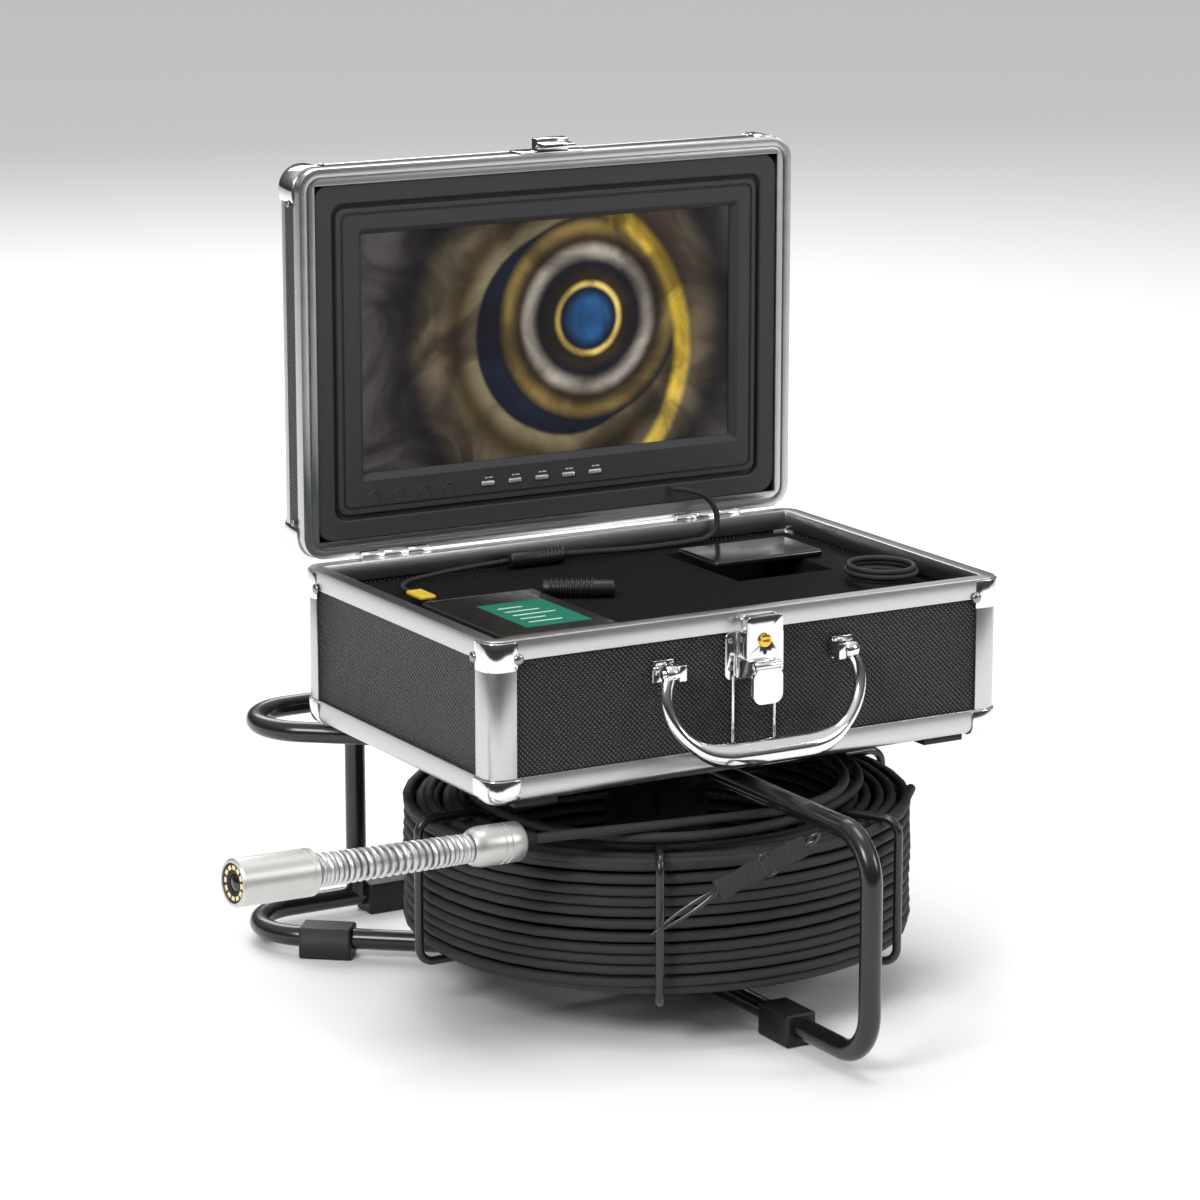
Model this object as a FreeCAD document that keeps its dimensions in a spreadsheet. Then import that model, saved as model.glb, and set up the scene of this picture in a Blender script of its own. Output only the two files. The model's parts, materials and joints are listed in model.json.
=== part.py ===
"""Pipe inspection camera: a carry case with a monitor in its lid, on a tube stand with a cable reel.

Millimetres. X is to the right, Y to the back and Z up. The origin is on the floor, at the middle
of the stand's footprint. The reel turns about a vertical axle a little behind the origin.
"""
import FreeCAD, Part
import math
import os
import re
import Sketcher

SIZES = [
    # Stand
    ("tube_diameter", 11.0, "outside diameter of the stand's tube"),
    ("front_reach", 201.0, "hub axis to the centre line of the front post"),
    ("back_reach", 170.5, "hub axis to the centre line of the back tubes"),
    ("loop_half_width", 158.0, "middle of the stand to the centre line of a loop's side"),
    ("loop_bend", 30.0, "bend radius of the back loops' corners"),
    ("bow_bend", 24.0, "bend radius of the front bow"),
    ("lower_tube_height", 10.0, "floor to the centre line of the lower tubes"),
    ("level_gap", 111.4, "between the centre lines of the lower and upper tubes"),
    ("post_offset", 88.7, "middle of the stand to a back post"),
    ("hub_radius", 22.0, "radius of the two hubs"),
    ("boss_rise", 9.6, "upper tubes' centre line to the top of the upper hub"),
    ("hub_drop", 8.4, "upper tubes' centre line to the underside of the upper hub"),
    ("lower_hub_rise", 8.0, "lower tubes' centre line to the top of the lower hub"),
    ("axle_radius", 6.0, "radius of the reel's axle"),
    ("foot_height", 17.0, "height of the rubber feet"),
    ("foot_width", 17.0, "width of the rubber feet"),
    ("foot_length", 28.0, "length of the rubber feet along their tube"),
    ("foot_edge", 1.5, "rounding of the rubber feet's edges"),
    ("front_foot_inset", 74.0, "front post to the middle of the front foot"),
    ("back_foot_inset", 18.0, "back post to the middle of its foot"),
    ("side_foot_share", 0.64, "share of the back reach at which the side feet sit"),
    # Reel
    ("drum_radius", 28.0, "outside radius of the reel's drum"),
    ("bush_wall", 3.0, "wall of the nylon bushes"),
    ("bush_length", 12.0, "length of a bush"),
    ("bush_clearance", 0.05, "radial clearance of the axle in its bushes"),
    ("drum_gap", 1.0, "drum to either hub"),
    ("drum_bore_gap", 1.5, "axle to the drum's bore, between the bushes"),
    ("wire_radius", 2.25, "radius of the cage wire"),
    ("cage_radius", 139.0, "hub axis to the upright part of a cage wire"),
    ("cage_bend", 8.0, "bend radius of a cage wire"),
    ("cage_top", 101.5, "floor to the upper arm of a cage wire"),
    ("cage_bottom", 26.5, "floor to the lower arm of a cage wire"),
    ("coil_outer", 135.0, "outside radius of the cable winding"),
    ("coil_inner", 102.0, "inside radius of the cable winding"),
    ("coil_gap", 0.15, "winding to the cage's arms"),
    ("cable_diameter", 5.2, "diameter of the push cable"),
    # Case
    ("case_width", 294.0, "width over the case's panels"),
    ("case_depth", 198.4, "depth over the case's panels"),
    ("case_height", 81.7, "underside of the case to the top of its rim"),
    ("case_setback", 7.2, "hub axis to the middle of the case"),
    ("panel_wall", 5.0, "thickness of the case's panels"),
    ("profile_skin", 1.4, "how far the aluminium profiles stand out from the panels"),
    ("rim_height", 10.3, "height of the rim profile"),
    ("edge_height", 13.2, "height of the bottom edge profile"),
    ("corner_leg", 15.0, "leg of an upright corner profile"),
    ("corner_round", 9.0, "outside radius of the case's upright corners"),
    ("panel_groove", 3.0, "how far a panel goes into its profiles"),
    ("edge_round", 6.0, "outside radius of the case's lower edges"),
    ("ball_size", 16.5, "side of a ball corner"),
    ("ball_height", 12.5, "height of a ball corner"),
    ("lid_cap_size", 25.0, "side of a lid corner cap"),
    ("ball_skin", 0.8, "how far a ball corner stands out"),
    ("bracket_size", 21.0, "side of a rim corner bracket"),
    ("bracket_skin", 0.8, "thickness of the rim corner brackets"),
    ("rivet_radius", 2.2, "radius of a rivet's head"),
    ("foot_pad_width", 24.0, "width of a case foot"),
    ("foot_pad_depth", 14.0, "depth of a case foot"),
    ("foot_pad_height", 3.9, "height of a case foot"),
    ("foot_pad_offset", 119.0, "middle of the case to a case foot"),
    ("foot_pad_inset", 12.5, "case front or back to the middle of a case foot"),
    ("floor_wall", 4.0, "thickness of the case's floor"),
    ("foam_gap", 0.4, "foam to the profiles round it"),
    ("foam_top", 70.0, "underside of the case to the top of the foam"),
    ("pocket_clearance", 0.6, "clearance round what sits in the foam"),
    # Lid
    ("lid_width", 294.4, "width of the lid"),
    ("lid_height", 202.2, "height of the open lid"),
    ("lid_thickness", 21.45, "thickness of the lid"),
    ("lid_gap", 0.3, "gap between the rims when the lid is shut"),
    ("lid_lift", 1.0, "hinge axis to the lid's nearest edge"),
    ("hinge_setback", 1.8, "case's back panel to the hinge axis"),
    ("lid_rim_width", 8.6, "width of the lid's rim seen from the front"),
    ("lid_rim_depth", 7.0, "depth of the lid's rim profile"),
    ("lid_edge_depth", 5.0, "depth of the lid's back edge profile"),
    ("lid_wall", 4.0, "thickness of the lid's walls and back"),
    ("lid_corner_round", 12.0, "outside radius of the lid's corners"),
    ("lid_groove_start", 4.0, "lid's edge to the groove in its rim"),
    ("lid_groove_end", 5.2, "lid's edge to the groove's inner side"),
    ("lid_groove_depth", 1.6, "depth of the groove in the lid's rim"),
    ("lid_edge_width", 10.0, "width of the lid's back edge profile"),
    ("lid_panel_inset", 0.6, "back edge profile to either face of the back panel"),
    ("bezel_recess", 1.2, "lid's rim to the face of the monitor"),
    ("bezel_depth", 9.0, "depth of the monitor's front frame"),
    ("screen_width", 222.0, "width of the picture area"),
    ("screen_height", 124.9, "height of the picture area"),
    ("screen_recess", 5.0, "face of the monitor to its glass"),
    ("screen_drop", 98.0, "picture's middle to the lid's top"),
    ("screen_gap", 0.1, "glass to the edge of its window"),
    ("monitor_gap", 0.2, "lid's rim to the monitor's frame"),
    ("monitor_back_inset", 8.0, "edge of the monitor's frame to its back"),
    ("monitor_back_gap", 0.4, "monitor's back to the lid's back edge"),
    ("screen_middle", 0.8, "middle of the case to the middle of the picture"),
    ("button_width", 7.5, "width of a monitor button"),
    ("button_height", 2.2, "height of a monitor button"),
    ("button_pitch", 16.2, "between two monitor buttons"),
    ("button_start", -39.1, "middle of the case to the first button"),
    ("button_level", 30.5, "lid's lower edge to the buttons"),
    ("button_rise", 1.1, "how far a button stands out"),
    ("button_travel", 0.6, "how far a button goes in"),
    ("button_clearance", 0.25, "clearance round a button"),
    ("button_depth", 3.0, "how far a button's stem goes into the frame"),
    ("button_edge", 0.6, "rounding of a button's corners"),
    # Hinges
    ("knuckle_radius", 2.5, "outside radius of a hinge knuckle"),
    ("pin_radius", 1.2, "radius of a hinge pin"),
    ("pin_clearance", 0.05, "radial clearance of a hinge pin"),
    ("hinge_length", 40.0, "length of a hinge"),
    ("knuckle_length", 14.0, "length of the middle knuckle"),
    ("knuckle_gap", 0.3, "gap between knuckles"),
    ("leaf_wall", 0.8, "thickness of a hinge leaf"),
    ("leaf_length", 16.0, "hinge axis to the end of the lower leaf"),
    ("upper_leaf_length", 15.0, "hinge axis to the end of the upper leaf"),
    ("hinge_room", 0.5, "clearance round a hinge"),
    ("hinge_offset", 95.0, "middle of the case to the middle of a hinge"),
    # Latch and handle
    ("hasp_width", 37.0, "width of the lid's hasp plate"),
    ("hasp_depth", 14.0, "depth of the hasp plate"),
    ("hasp_wall", 1.2, "thickness of the hasp plate"),
    ("tab_width", 18.8, "width of the hasp's tab"),
    ("tab_depth", 6.0, "lid's rim to the back of the tab"),
    ("tab_height", 6.8, "height of the tab over its plate"),
    ("tongue_drop", 8.0, "how far the hasp's tongue reaches past the rim"),
    ("tongue_wall", 2.6, "thickness of the tongue"),
    ("tongue_offset", 2.0, "plate to the tongue"),
    ("tongue_gap", 0.5, "clearance of the tongue in the latch"),
    ("latch_middle", 0.6, "middle of the case to the middle of the latch"),
    ("latch_plate_width", 34.0, "width of the latch's base plate"),
    ("latch_plate_low", 47.0, "underside of the case to the base plate"),
    ("latch_plate_high", 79.9, "underside of the case to the top of the base plate"),
    ("latch_plate_wall", 1.2, "thickness of the base plate"),
    ("latch_body_width", 21.0, "width of the latch's raised body"),
    ("latch_body_depth", 9.5, "depth of the latch's raised body"),
    ("latch_body_low", 57.4, "underside of the case to the raised body"),
    ("key_radius", 3.3, "radius of the key cylinder"),
    ("key_height", 67.7, "underside of the case to the key cylinder"),
    ("key_clearance", 0.05, "radial clearance of the key cylinder"),
    ("lever_width", 17.0, "width of the latch's lever"),
    ("lever_low", 36.1, "underside of the case to the lever's end"),
    ("lever_wall", 2.4, "thickness of the lever"),
    ("lever_knuckle", 2.0, "radius of the lever's knuckle"),
    ("lever_gap", 0.4, "latch body to the lever's knuckle"),
    ("lever_round", 5.0, "rounding of the lever's end"),
    ("latch_round", 2.5, "rounding of the latch body's corners"),
    ("plate_round", 3.5, "rounding of the latch plate's corners"),
    ("key_stand_out", 1.0, "how far the key cylinder stands out of the latch"),
    ("key_slot_half", 2.2, "half of the key slot's length"),
    ("key_slot_wide", 1.0, "width of the key slot"),
    ("key_slot_deep", 0.6, "latch body's face to the bottom of the key slot"),
    ("handle_half_span", 52.0, "middle of the case to a handle leg"),
    ("handle_pivot_height", 56.5, "underside of the case to the handle's pivot"),
    ("handle_pivot_out", 8.0, "case's front panel to the handle's pivot"),
    ("handle_leg_radius", 3.2, "radius of the handle's legs"),
    ("handle_grip_radius", 6.8, "radius of the handle's grip"),
    ("handle_grip_half", 24.0, "half of the grip's length"),
    ("handle_lean", 14.0, "degrees that the hanging handle leans out"),
    ("handle_pin_radius", 2.0, "radius of a handle pivot pin"),
    ("handle_eye_wall", 1.2, "how far the handle's eye stands out from its leg"),
    ("handle_drop", 44.0, "handle's pivot to the middle of its grip"),
    ("handle_taper", 12.0, "length over which the grip thins to a leg"),
    ("mount_width", 12.0, "width of a handle mount's plate"),
    ("mount_height", 11.0, "height of a handle mount's plate"),
    ("mount_wall", 1.5, "thickness of a handle mount's plate"),
    ("lug_width", 4.0, "width of a handle mount's lug"),
    ("lug_height", 8.0, "height of a handle mount's lug"),
    ("lug_front", 3.0, "handle's pivot to the front of the lug"),
    ("lug_gap", 0.6, "lug to the handle's leg"),
    # Camera head
    ("head_radius", 11.5, "radius of the camera's housing"),
    ("head_length", 42.5, "length of the camera's housing"),
    ("spring_length", 88.0, "length of the flexible spring"),
    ("spring_radius", 8.6, "outside radius of the flexible spring"),
    ("collar_length", 29.0, "length of the cable collar"),
    ("collar_radius", 10.0, "radius of the cable collar"),
    ("boot_length", 10.0, "length of the boot's visible part"),
    ("boot_radius", 7.0, "radius of the boot at the collar"),
    ("face_depth", 3.0, "depth of the lamp ring in the housing"),
    ("lens_radius", 4.2, "radius of the lens"),
]

os.makedirs("parts", exist_ok=True)
doc = FreeCAD.newDocument("InspectionCamera")
sheet = doc.addObject("Spreadsheet::Sheet", "Sizes")
for row, (alias, number, note) in enumerate(SIZES, start=1):
    sheet.set("A%d" % row, alias)
    sheet.set("B%d" % row, str(number))
    sheet.set("C%d" % row, note)
    sheet.setAlias("B%d" % row, alias)
doc.recompute()

WORD = re.compile(r"\b[a-z]+(?:_[a-z]+)+\b")
AXES = {
    "x": FreeCAD.Rotation(FreeCAD.Vector(0, 1, 0), 90),
    "y": FreeCAD.Rotation(FreeCAD.Vector(1, 0, 0), -90),
    "z": FreeCAD.Rotation(),
}
nodes = []


def bound(term):
    """The expression for a term written with the sheet's aliases."""
    return WORD.sub(lambda match: "Sizes." + match.group(0), term)


def value(term):
    """The number that a term has now."""
    result = sheet.evalExpression(bound(term))
    return float(getattr(result, "Value", result))


def place(piece, x, y, z):
    """Bind a piece's position to three terms."""
    piece.setExpression(".Placement.Base.x", bound(x))
    piece.setExpression(".Placement.Base.y", bound(y))
    piece.setExpression(".Placement.Base.z", bound(z))


def block(name, xs, ys, zs):
    """A box between two terms along each axis."""
    piece = doc.addObject("Part::Box", name)
    for size, (low, high) in zip(("Length", "Width", "Height"), (xs, ys, zs)):
        piece.setExpression(size, bound("(%s) - (%s)" % (high, low)))
    place(piece, xs[0], ys[0], zs[0])
    return piece


def rod(name, radius, axis, start, length):
    """A cylinder along x, y or z from the point start."""
    piece = doc.addObject("Part::Cylinder", name)
    piece.Placement = FreeCAD.Placement(FreeCAD.Vector(), AXES[axis])
    piece.setExpression("Radius", bound(radius))
    piece.setExpression("Height", bound(length))
    place(piece, *start)
    return piece


def cut(name, base, *tools):
    """Base without the tools."""
    piece = doc.addObject("Part::Cut", name)
    piece.Base = base
    piece.Tool = tools[0] if len(tools) == 1 else group(name + "Tools", *tools)
    return piece


def group(name, *pieces):
    """Separate solids held together under one name."""
    piece = doc.addObject("Part::Compound", name)
    piece.Links = list(pieces)
    return piece


def fuse(name, *pieces):
    """One solid from several that touch."""
    piece = doc.addObject("Part::MultiFuse", name)
    piece.Shapes = list(pieces)
    return piece


def rounded(name, base, radius, axis):
    """Base with the edges that run along an axis rounded."""
    doc.recompute()
    piece = doc.addObject("Part::Fillet", name)
    piece.Base = base
    along = {"x": 0, "y": 1, "z": 2}[axis]
    chosen = []
    for number, edge in enumerate(base.Shape.Edges, start=1):
        run = edge.Vertexes[-1].Point - edge.Vertexes[0].Point
        if abs(run[along]) > 0.999 * run.Length and run.Length > 0:
            chosen.append((number, value(radius), value(radius)))
    piece.Edges = chosen
    return piece


def shaped(name, shape):
    """A piece with a shape made by functions, from sizes read off the sheet."""
    piece = doc.addObject("Part::Feature", name)
    piece.Shape = shape
    return piece


def node(name, piece):
    """Keep a piece as a named sub-part."""
    piece.Label = name
    nodes.append(piece)
    return piece


def origin_plane(body, role):
    """The body's own origin plane of that role."""
    return next(item for item in body.Origin.OriginFeatures if item.Role == role)


def outline(body, role, corners):
    """A closed sketch whose corners are bound to pairs of terms."""
    sketch = body.newObject("Sketcher::SketchObject", body.Name + "Outline")
    sketch.AttachmentSupport = [(origin_plane(body, role), "")]
    sketch.MapMode = "FlatFace"
    points = [FreeCAD.Vector(value(x), value(y), 0) for x, y in corners]
    count = len(points)
    for number in range(count):
        sketch.addGeometry(Part.LineSegment(points[number], points[(number + 1) % count]))
    for number in range(count):
        sketch.addConstraint(Sketcher.Constraint("Coincident", number, 2, (number + 1) % count, 1))
    for number, (x, y) in enumerate(corners):
        for kind, term, axis in (("DistanceX", x, -2), ("DistanceY", y, -1)):
            if term == "0":
                sketch.addConstraint(Sketcher.Constraint("PointOnObject", number, 1, axis))
            else:
                made = sketch.addConstraint(Sketcher.Constraint(kind, -1, 1, number, 1, value(term)))
                sketch.setExpression("Constraints[%d]" % made, bound(term))
    return sketch


def turned(name, corners):
    """A body turned about its own Z axis from corners of (radius, height)."""
    body = doc.addObject("PartDesign::Body", name + "Body")
    sketch = outline(body, "XZ_Plane", corners)
    turn = body.newObject("PartDesign::Revolution", name + "Turn")
    turn.Profile = sketch
    turn.ReferenceAxis = (sketch, ["V_Axis"])
    turn.Angle = 360
    body.Tip = turn
    return body


def sweep(wire, radius):
    """A round bar along a wire of runs and tangent arcs."""
    start = wire.Edges[0]
    point = start.valueAt(start.FirstParameter)
    heading = start.tangentAt(start.FirstParameter)
    section = Part.Wire([Part.makeCircle(radius, point, heading)])
    bar = wire.makePipeShell([section], True, False)
    return bar if bar.Volume > 0 else bar.reversed()


def route(points, share=0.45, bend=None):
    """A wire of straight runs joined by tangent arcs, with the radius of each arc.

    Each arc takes the given share of its shorter run, or has the radius bend.
    """
    edges = []
    radii = []
    last = points[0]
    for before, corner, after in zip(points, points[1:], points[2:]):
        back = (before - corner).normalize()
        ahead = (after - corner).normalize()
        turn = math.pi - back.getAngle(ahead)
        shorter = min((before - corner).Length, (after - corner).Length)
        radius = bend or share * shorter / math.tan(turn / 2)
        setback = radius * math.tan(turn / 2)
        enter = corner + back * setback
        leave = corner + ahead * setback
        inward = (back + ahead).normalize()
        middle = corner + inward * (radius / math.cos(turn / 2) - radius)
        edges.append(Part.LineSegment(last, enter).toShape())
        edges.append(Part.Arc(enter, middle, leave).toShape())
        radii.append(radius)
        last = leave
    edges.append(Part.LineSegment(last, points[-1]).toShape())
    return Part.Wire(edges), radii


def vector(x, y, z):
    return FreeCAD.Vector(x, y, z)


# Places that several pieces share, as terms
HUB_Y = "((front_reach - back_reach) / 2)"
LOW = "lower_tube_height"
HIGH = "(lower_tube_height + level_gap)"
BASE = "(lower_tube_height + level_gap + boss_rise)"
CENTRE = "(%s + case_setback)" % HUB_Y
FRONT = "(%s - case_depth / 2)" % CENTRE
BACK = "(%s + case_depth / 2)" % CENTRE
RIM = "(%s + case_height)" % BASE
SIDE = "(case_width / 2)"
HINGE_Y = "(%s + hinge_setback)" % BACK
HINGE_Z = "(%s + lid_gap)" % RIM
LID_LOW = "(%s + lid_lift)" % HINGE_Z
LID_TOP = "(%s + lid_height)" % LID_LOW
LID_BACK = "(%s + lid_thickness)" % HINGE_Y
LID_SIDE = "(lid_width / 2)"


def plus(term, more):
    """Two terms added."""
    return "(%s) + (%s)" % (term, more)


def minus(term, less):
    """One term less another."""
    return "(%s) - (%s)" % (term, less)


# ---------------------------------------------------------------- stand
hub_y = value(HUB_Y)
low = value(LOW)
high = value(HIGH)
tube = value("tube_diameter / 2")
front_y = hub_y - value("front_reach")
back_y = hub_y + value("back_reach")


def hub_tool(name, level_low, level_high):
    """The space that a hub takes, to trim the tubes that end on it."""
    return rod(name, "hub_radius", "z", ("0", HUB_Y, level_low), minus(level_high, level_low))


upper_low = minus(HIGH, "hub_drop")
lower_high = plus(LOW, "lower_hub_rise")
LOWER_HUB_LOW = "lower_tube_height - tube_diameter / 2 - 1"
upper_hub = hub_tool("UpperHub", upper_low, BASE)
lower_hub = hub_tool("LowerHub", LOWER_HUB_LOW, lower_high)
node("stand_hubs", group("Hubs", upper_hub, lower_hub))


def loop_points(level):
    """Corners of a back loop: hub, left corner, right corner, hub."""
    bend = value("loop_bend")
    centre_x = value("loop_half_width") - bend
    centre_y = value("back_reach") - bend
    reach = math.hypot(centre_x, centre_y)
    heading = math.atan2(centre_y, centre_x) - math.asin(bend / reach)
    corner_x = value("back_reach") / math.tan(heading)
    inner = value("hub_radius") / 2
    near = (inner * math.cos(heading), inner * math.sin(heading))
    return [
        vector(-near[0], hub_y + near[1], level),
        vector(-corner_x, back_y, level),
        vector(corner_x, back_y, level),
        vector(near[0], hub_y + near[1], level),
    ]


loops = {}
for name, level, trim in (("upper", high, upper_hub), ("lower", low, lower_hub)):
    wire = route(loop_points(level), bend=value("loop_bend"))[0]
    bar = shaped(name.title() + "LoopBar", sweep(wire, tube))
    loops[name] = node("stand_%s_loop" % name, cut(name.title() + "Loop", bar, trim))

bow_points = [
    vector(0, hub_y - value("hub_radius / 2"), high),
    vector(0, front_y, high),
    vector(0, front_y, low),
    vector(0, hub_y - value("hub_radius / 2"), low),
]
bow_bar = shaped("BowBar", sweep(route(bow_points, bend=value("bow_bend"))[0], tube))
front_bow = node("stand_front_bow", cut("FrontBow", bow_bar, upper_hub, lower_hub))

posts = []
for name, sign in (("Left", "-"), ("Right", "")):
    start = (sign + "post_offset", plus(HUB_Y, "back_reach"), LOW)
    post = rod(name + "PostBar", "tube_diameter / 2", "z", start, "level_gap")
    posts.append(cut(name + "Post", post, loops["upper"], loops["lower"]))
node("stand_back_posts", group("BackPosts", *posts))

node("stand_axle", rod("Axle", "axle_radius", "z", ("0", HUB_Y, lower_high), minus(upper_low, lower_high)))


def foot(x, y, heading):
    """A rubber block on a lower tube, its length along the tube."""
    long_side = value("foot_length")
    wide = value("foot_width")
    pad = Part.makeBox(long_side, wide, value("foot_height"), vector(-long_side / 2, -wide / 2, 0))
    pad = pad.makeFillet(value("foot_edge"), pad.Edges)
    pad.rotate(vector(0, 0, 0), vector(0, 0, 1), heading)
    pad.translate(vector(x, y, 0))
    return pad


corner_a = loop_points(low)[1]
run = vector(-corner_a.x, corner_a.y - hub_y, 0)
diagonal = math.degrees(math.atan2(run.y, -run.x))
along = value("back_reach * side_foot_share") / math.sin(math.radians(180 - diagonal))
foot_x = along * math.cos(math.radians(diagonal))
foot_y = hub_y + along * math.sin(math.radians(diagonal))
back_foot_x = value("post_offset - back_foot_inset")
foot_shapes = [
    foot(0, front_y + value("front_foot_inset"), 90),
    foot(foot_x, foot_y, diagonal),
    foot(-foot_x, foot_y, 180 - diagonal),
    foot(-back_foot_x, back_y, 0),
    foot(back_foot_x, back_y, 0),
]
feet_block = shaped("FeetBlock", Part.makeCompound(foot_shapes))
node("stand_feet", cut("Feet", feet_block, loops["lower"], front_bow, *posts))

# ---------------------------------------------------------------- reel
DRUM_LOW = plus(lower_high, "drum_gap")
DRUM_HIGH = minus(upper_low, "drum_gap")
BUSH_OUT = "axle_radius + bush_clearance + bush_wall"
drum = turned("Drum", [
    ("axle_radius + drum_bore_gap", "0"),
    ("drum_radius", "0"),
    ("drum_radius", minus(DRUM_HIGH, DRUM_LOW)),
    ("axle_radius + drum_bore_gap", minus(DRUM_HIGH, DRUM_LOW)),
])
place(drum, "0", HUB_Y, DRUM_LOW)
bush_blanks = []
bushes = []
for name, level in (("Lower", DRUM_LOW), ("Upper", minus(DRUM_HIGH, "bush_length"))):
    seat = rod(name + "BushSeat", BUSH_OUT, "z", ("0", HUB_Y, level), "bush_length")
    blank = rod(name + "BushBlank", BUSH_OUT, "z", ("0", HUB_Y, level), "bush_length")
    bore = rod(name + "BushBore", "axle_radius + bush_clearance", "z", ("0", HUB_Y, level), "bush_length")
    bush_blanks.append(seat)
    bushes.append(cut(name + "Bush", blank, bore))
reel_drum = node("reel_drum", cut("ReelDrum", drum, *bush_blanks))
node("reel_bushes", group("Bushes", *bushes))


def cage_wire(angle):
    """One bent wire: out along the top, down, and back in along the bottom."""
    root = value("drum_radius") - 1
    out = value("cage_radius")
    top = value("cage_top")
    bottom = value("cage_bottom")
    points = [vector(root, 0, top), vector(out, 0, top), vector(out, 0, bottom), vector(root, 0, bottom)]
    bar = sweep(route(points, bend=value("cage_bend"))[0], value("wire_radius"))
    bar.rotate(vector(0, 0, 0), vector(0, 0, 1), angle)
    bar.translate(vector(0, hub_y, 0))
    return bar


WIRE_COUNT = 6
cage_bars = [
    shaped("CageBar%d" % (number + 1), cage_wire(number * 360 / WIRE_COUNT))
    for number in range(WIRE_COUNT)
]
node("cage_wires", cut("CageWires", group("CageBars", *cage_bars), reel_drum))

COIL_LOW = "cage_bottom + wire_radius + coil_gap"
COIL_HIGH = "cage_top - wire_radius - coil_gap"
COIL_TALL = minus(COIL_HIGH, COIL_LOW)
coil = turned("Coil", [
    ("coil_inner", "0"),
    ("coil_outer - cable_diameter", "0"),
    ("coil_outer", "cable_diameter"),
    ("coil_outer", minus(COIL_TALL, "cable_diameter")),
    ("coil_outer - cable_diameter", COIL_TALL),
    ("coil_inner", COIL_TALL),
])
place(coil, "0", HUB_Y, COIL_LOW)
node("cable_winding", coil)

# ---------------------------------------------------------------- case
INNER = minus(SIDE, "panel_wall")
PANEL_LOW = plus(BASE, "edge_height - panel_groove")
PANEL_HIGH = minus(RIM, "rim_height - panel_groove")
PANEL_END = minus(SIDE, "panel_wall + panel_groove")
PANEL_END_FRONT = plus(FRONT, "panel_wall + panel_groove")
PANEL_END_BACK = minus(BACK, "panel_wall + panel_groove")
PANEL_XS = ("-(%s)" % PANEL_END, PANEL_END)
PANEL_YS = (PANEL_END_FRONT, PANEL_END_BACK)
PANEL_ZS = (PANEL_LOW, PANEL_HIGH)
front_panel = block("FrontPanel", PANEL_XS, (FRONT, plus(FRONT, "panel_wall")), PANEL_ZS)
back_panel = block("BackPanel", PANEL_XS, (minus(BACK, "panel_wall"), BACK), PANEL_ZS)
left_panel = block("LeftPanel", ("-(%s)" % SIDE, "-(%s)" % INNER), PANEL_YS, PANEL_ZS)
right_panel = block("RightPanel", (INNER, SIDE), PANEL_YS, PANEL_ZS)
panels = (front_panel, back_panel, left_panel, right_panel)
node("case_long_panels", group("LongPanels", front_panel, back_panel))
node("case_end_panels", group("EndPanels", left_panel, right_panel))
OUT = plus(SIDE, "profile_skin")
OUT_FRONT = minus(FRONT, "profile_skin")
OUT_BACK = plus(BACK, "profile_skin")
IN = minus(INNER, "profile_skin")
IN_FRONT = plus(FRONT, "panel_wall + profile_skin")
IN_BACK = minus(BACK, "panel_wall + profile_skin")


def case_hull(name, grow, z_high):
    """The case's outside from its underside up, grown by a term, with round corners and lower edges."""
    xs = ("-(%s) - (%s)" % (OUT, grow), plus(OUT, grow))
    ys = (minus(OUT_FRONT, grow), plus(OUT_BACK, grow))
    upright = rounded(name + "Upright", block(name + "Stock", xs, ys, (minus(BASE, grow), z_high)),
                      plus("corner_round", grow), "z")
    doc.recompute()
    hull = doc.addObject("Part::Fillet", name + "Hull")
    hull.Base = upright
    level = upright.Shape.BoundBox.ZMin
    radius = value(plus("edge_round", grow))
    hull.Edges = [
        (number, radius, radius) for number, edge in enumerate(upright.Shape.Edges, start=1)
        if abs(edge.BoundBox.ZMax - level) < 1e-3
    ]
    return hull


def case_ring(name, z_low, z_high):
    """A profile that runs round the case, with its panels' grooves in it."""
    body = block(name + "Body", ("-(%s)" % OUT, OUT), (OUT_FRONT, OUT_BACK), (z_low, z_high))
    hole = block(name + "Hole", ("-(%s)" % IN, IN), (IN_FRONT, IN_BACK), (minus(z_low, "1"), plus(z_high, "1")))
    return rounded(name + "Round", body, "corner_round", "z"), hole


HINGE_SPANS = []
for sign in ("-", ""):
    HINGE_SPANS.append((plus(sign + "hinge_offset", "-hinge_length / 2 - hinge_room"), "hinge_length + 2 * hinge_room"))
notches = [
    rod("Notch%d" % (number + 1), "knuckle_radius + hinge_room", "x", (start, HINGE_Y, HINGE_Z), length)
    for number, (start, length) in enumerate(HINGE_SPANS)
]
rim_body, rim_hole = case_ring("Rim", minus(RIM, "rim_height"), RIM)
node("case_rim", cut("CaseRim", rim_body, rim_hole, *panels, *notches))

floor_panel = node("case_floor", rounded("CaseFloor", block(
    "FloorStock", ("-(%s)" % INNER, INNER), (plus(FRONT, "panel_wall"), minus(BACK, "panel_wall")),
    (BASE, plus(BASE, "floor_wall"))), "corner_round - panel_wall", "z"))
edge_body = case_hull("Edge", "0", plus(BASE, "edge_height"))
edge_hole = block("EdgeHole", ("-(%s)" % IN, IN), (IN_FRONT, IN_BACK), (minus(BASE, "1"), RIM))
node("case_bottom_edges", cut("BottomEdges", edge_body, edge_hole, floor_panel, *panels))
cap_outside = case_hull("CapOutside", "ball_skin", plus(BASE, "ball_height"))
cap_inside = case_hull("CapInside", "0", RIM)

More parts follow.
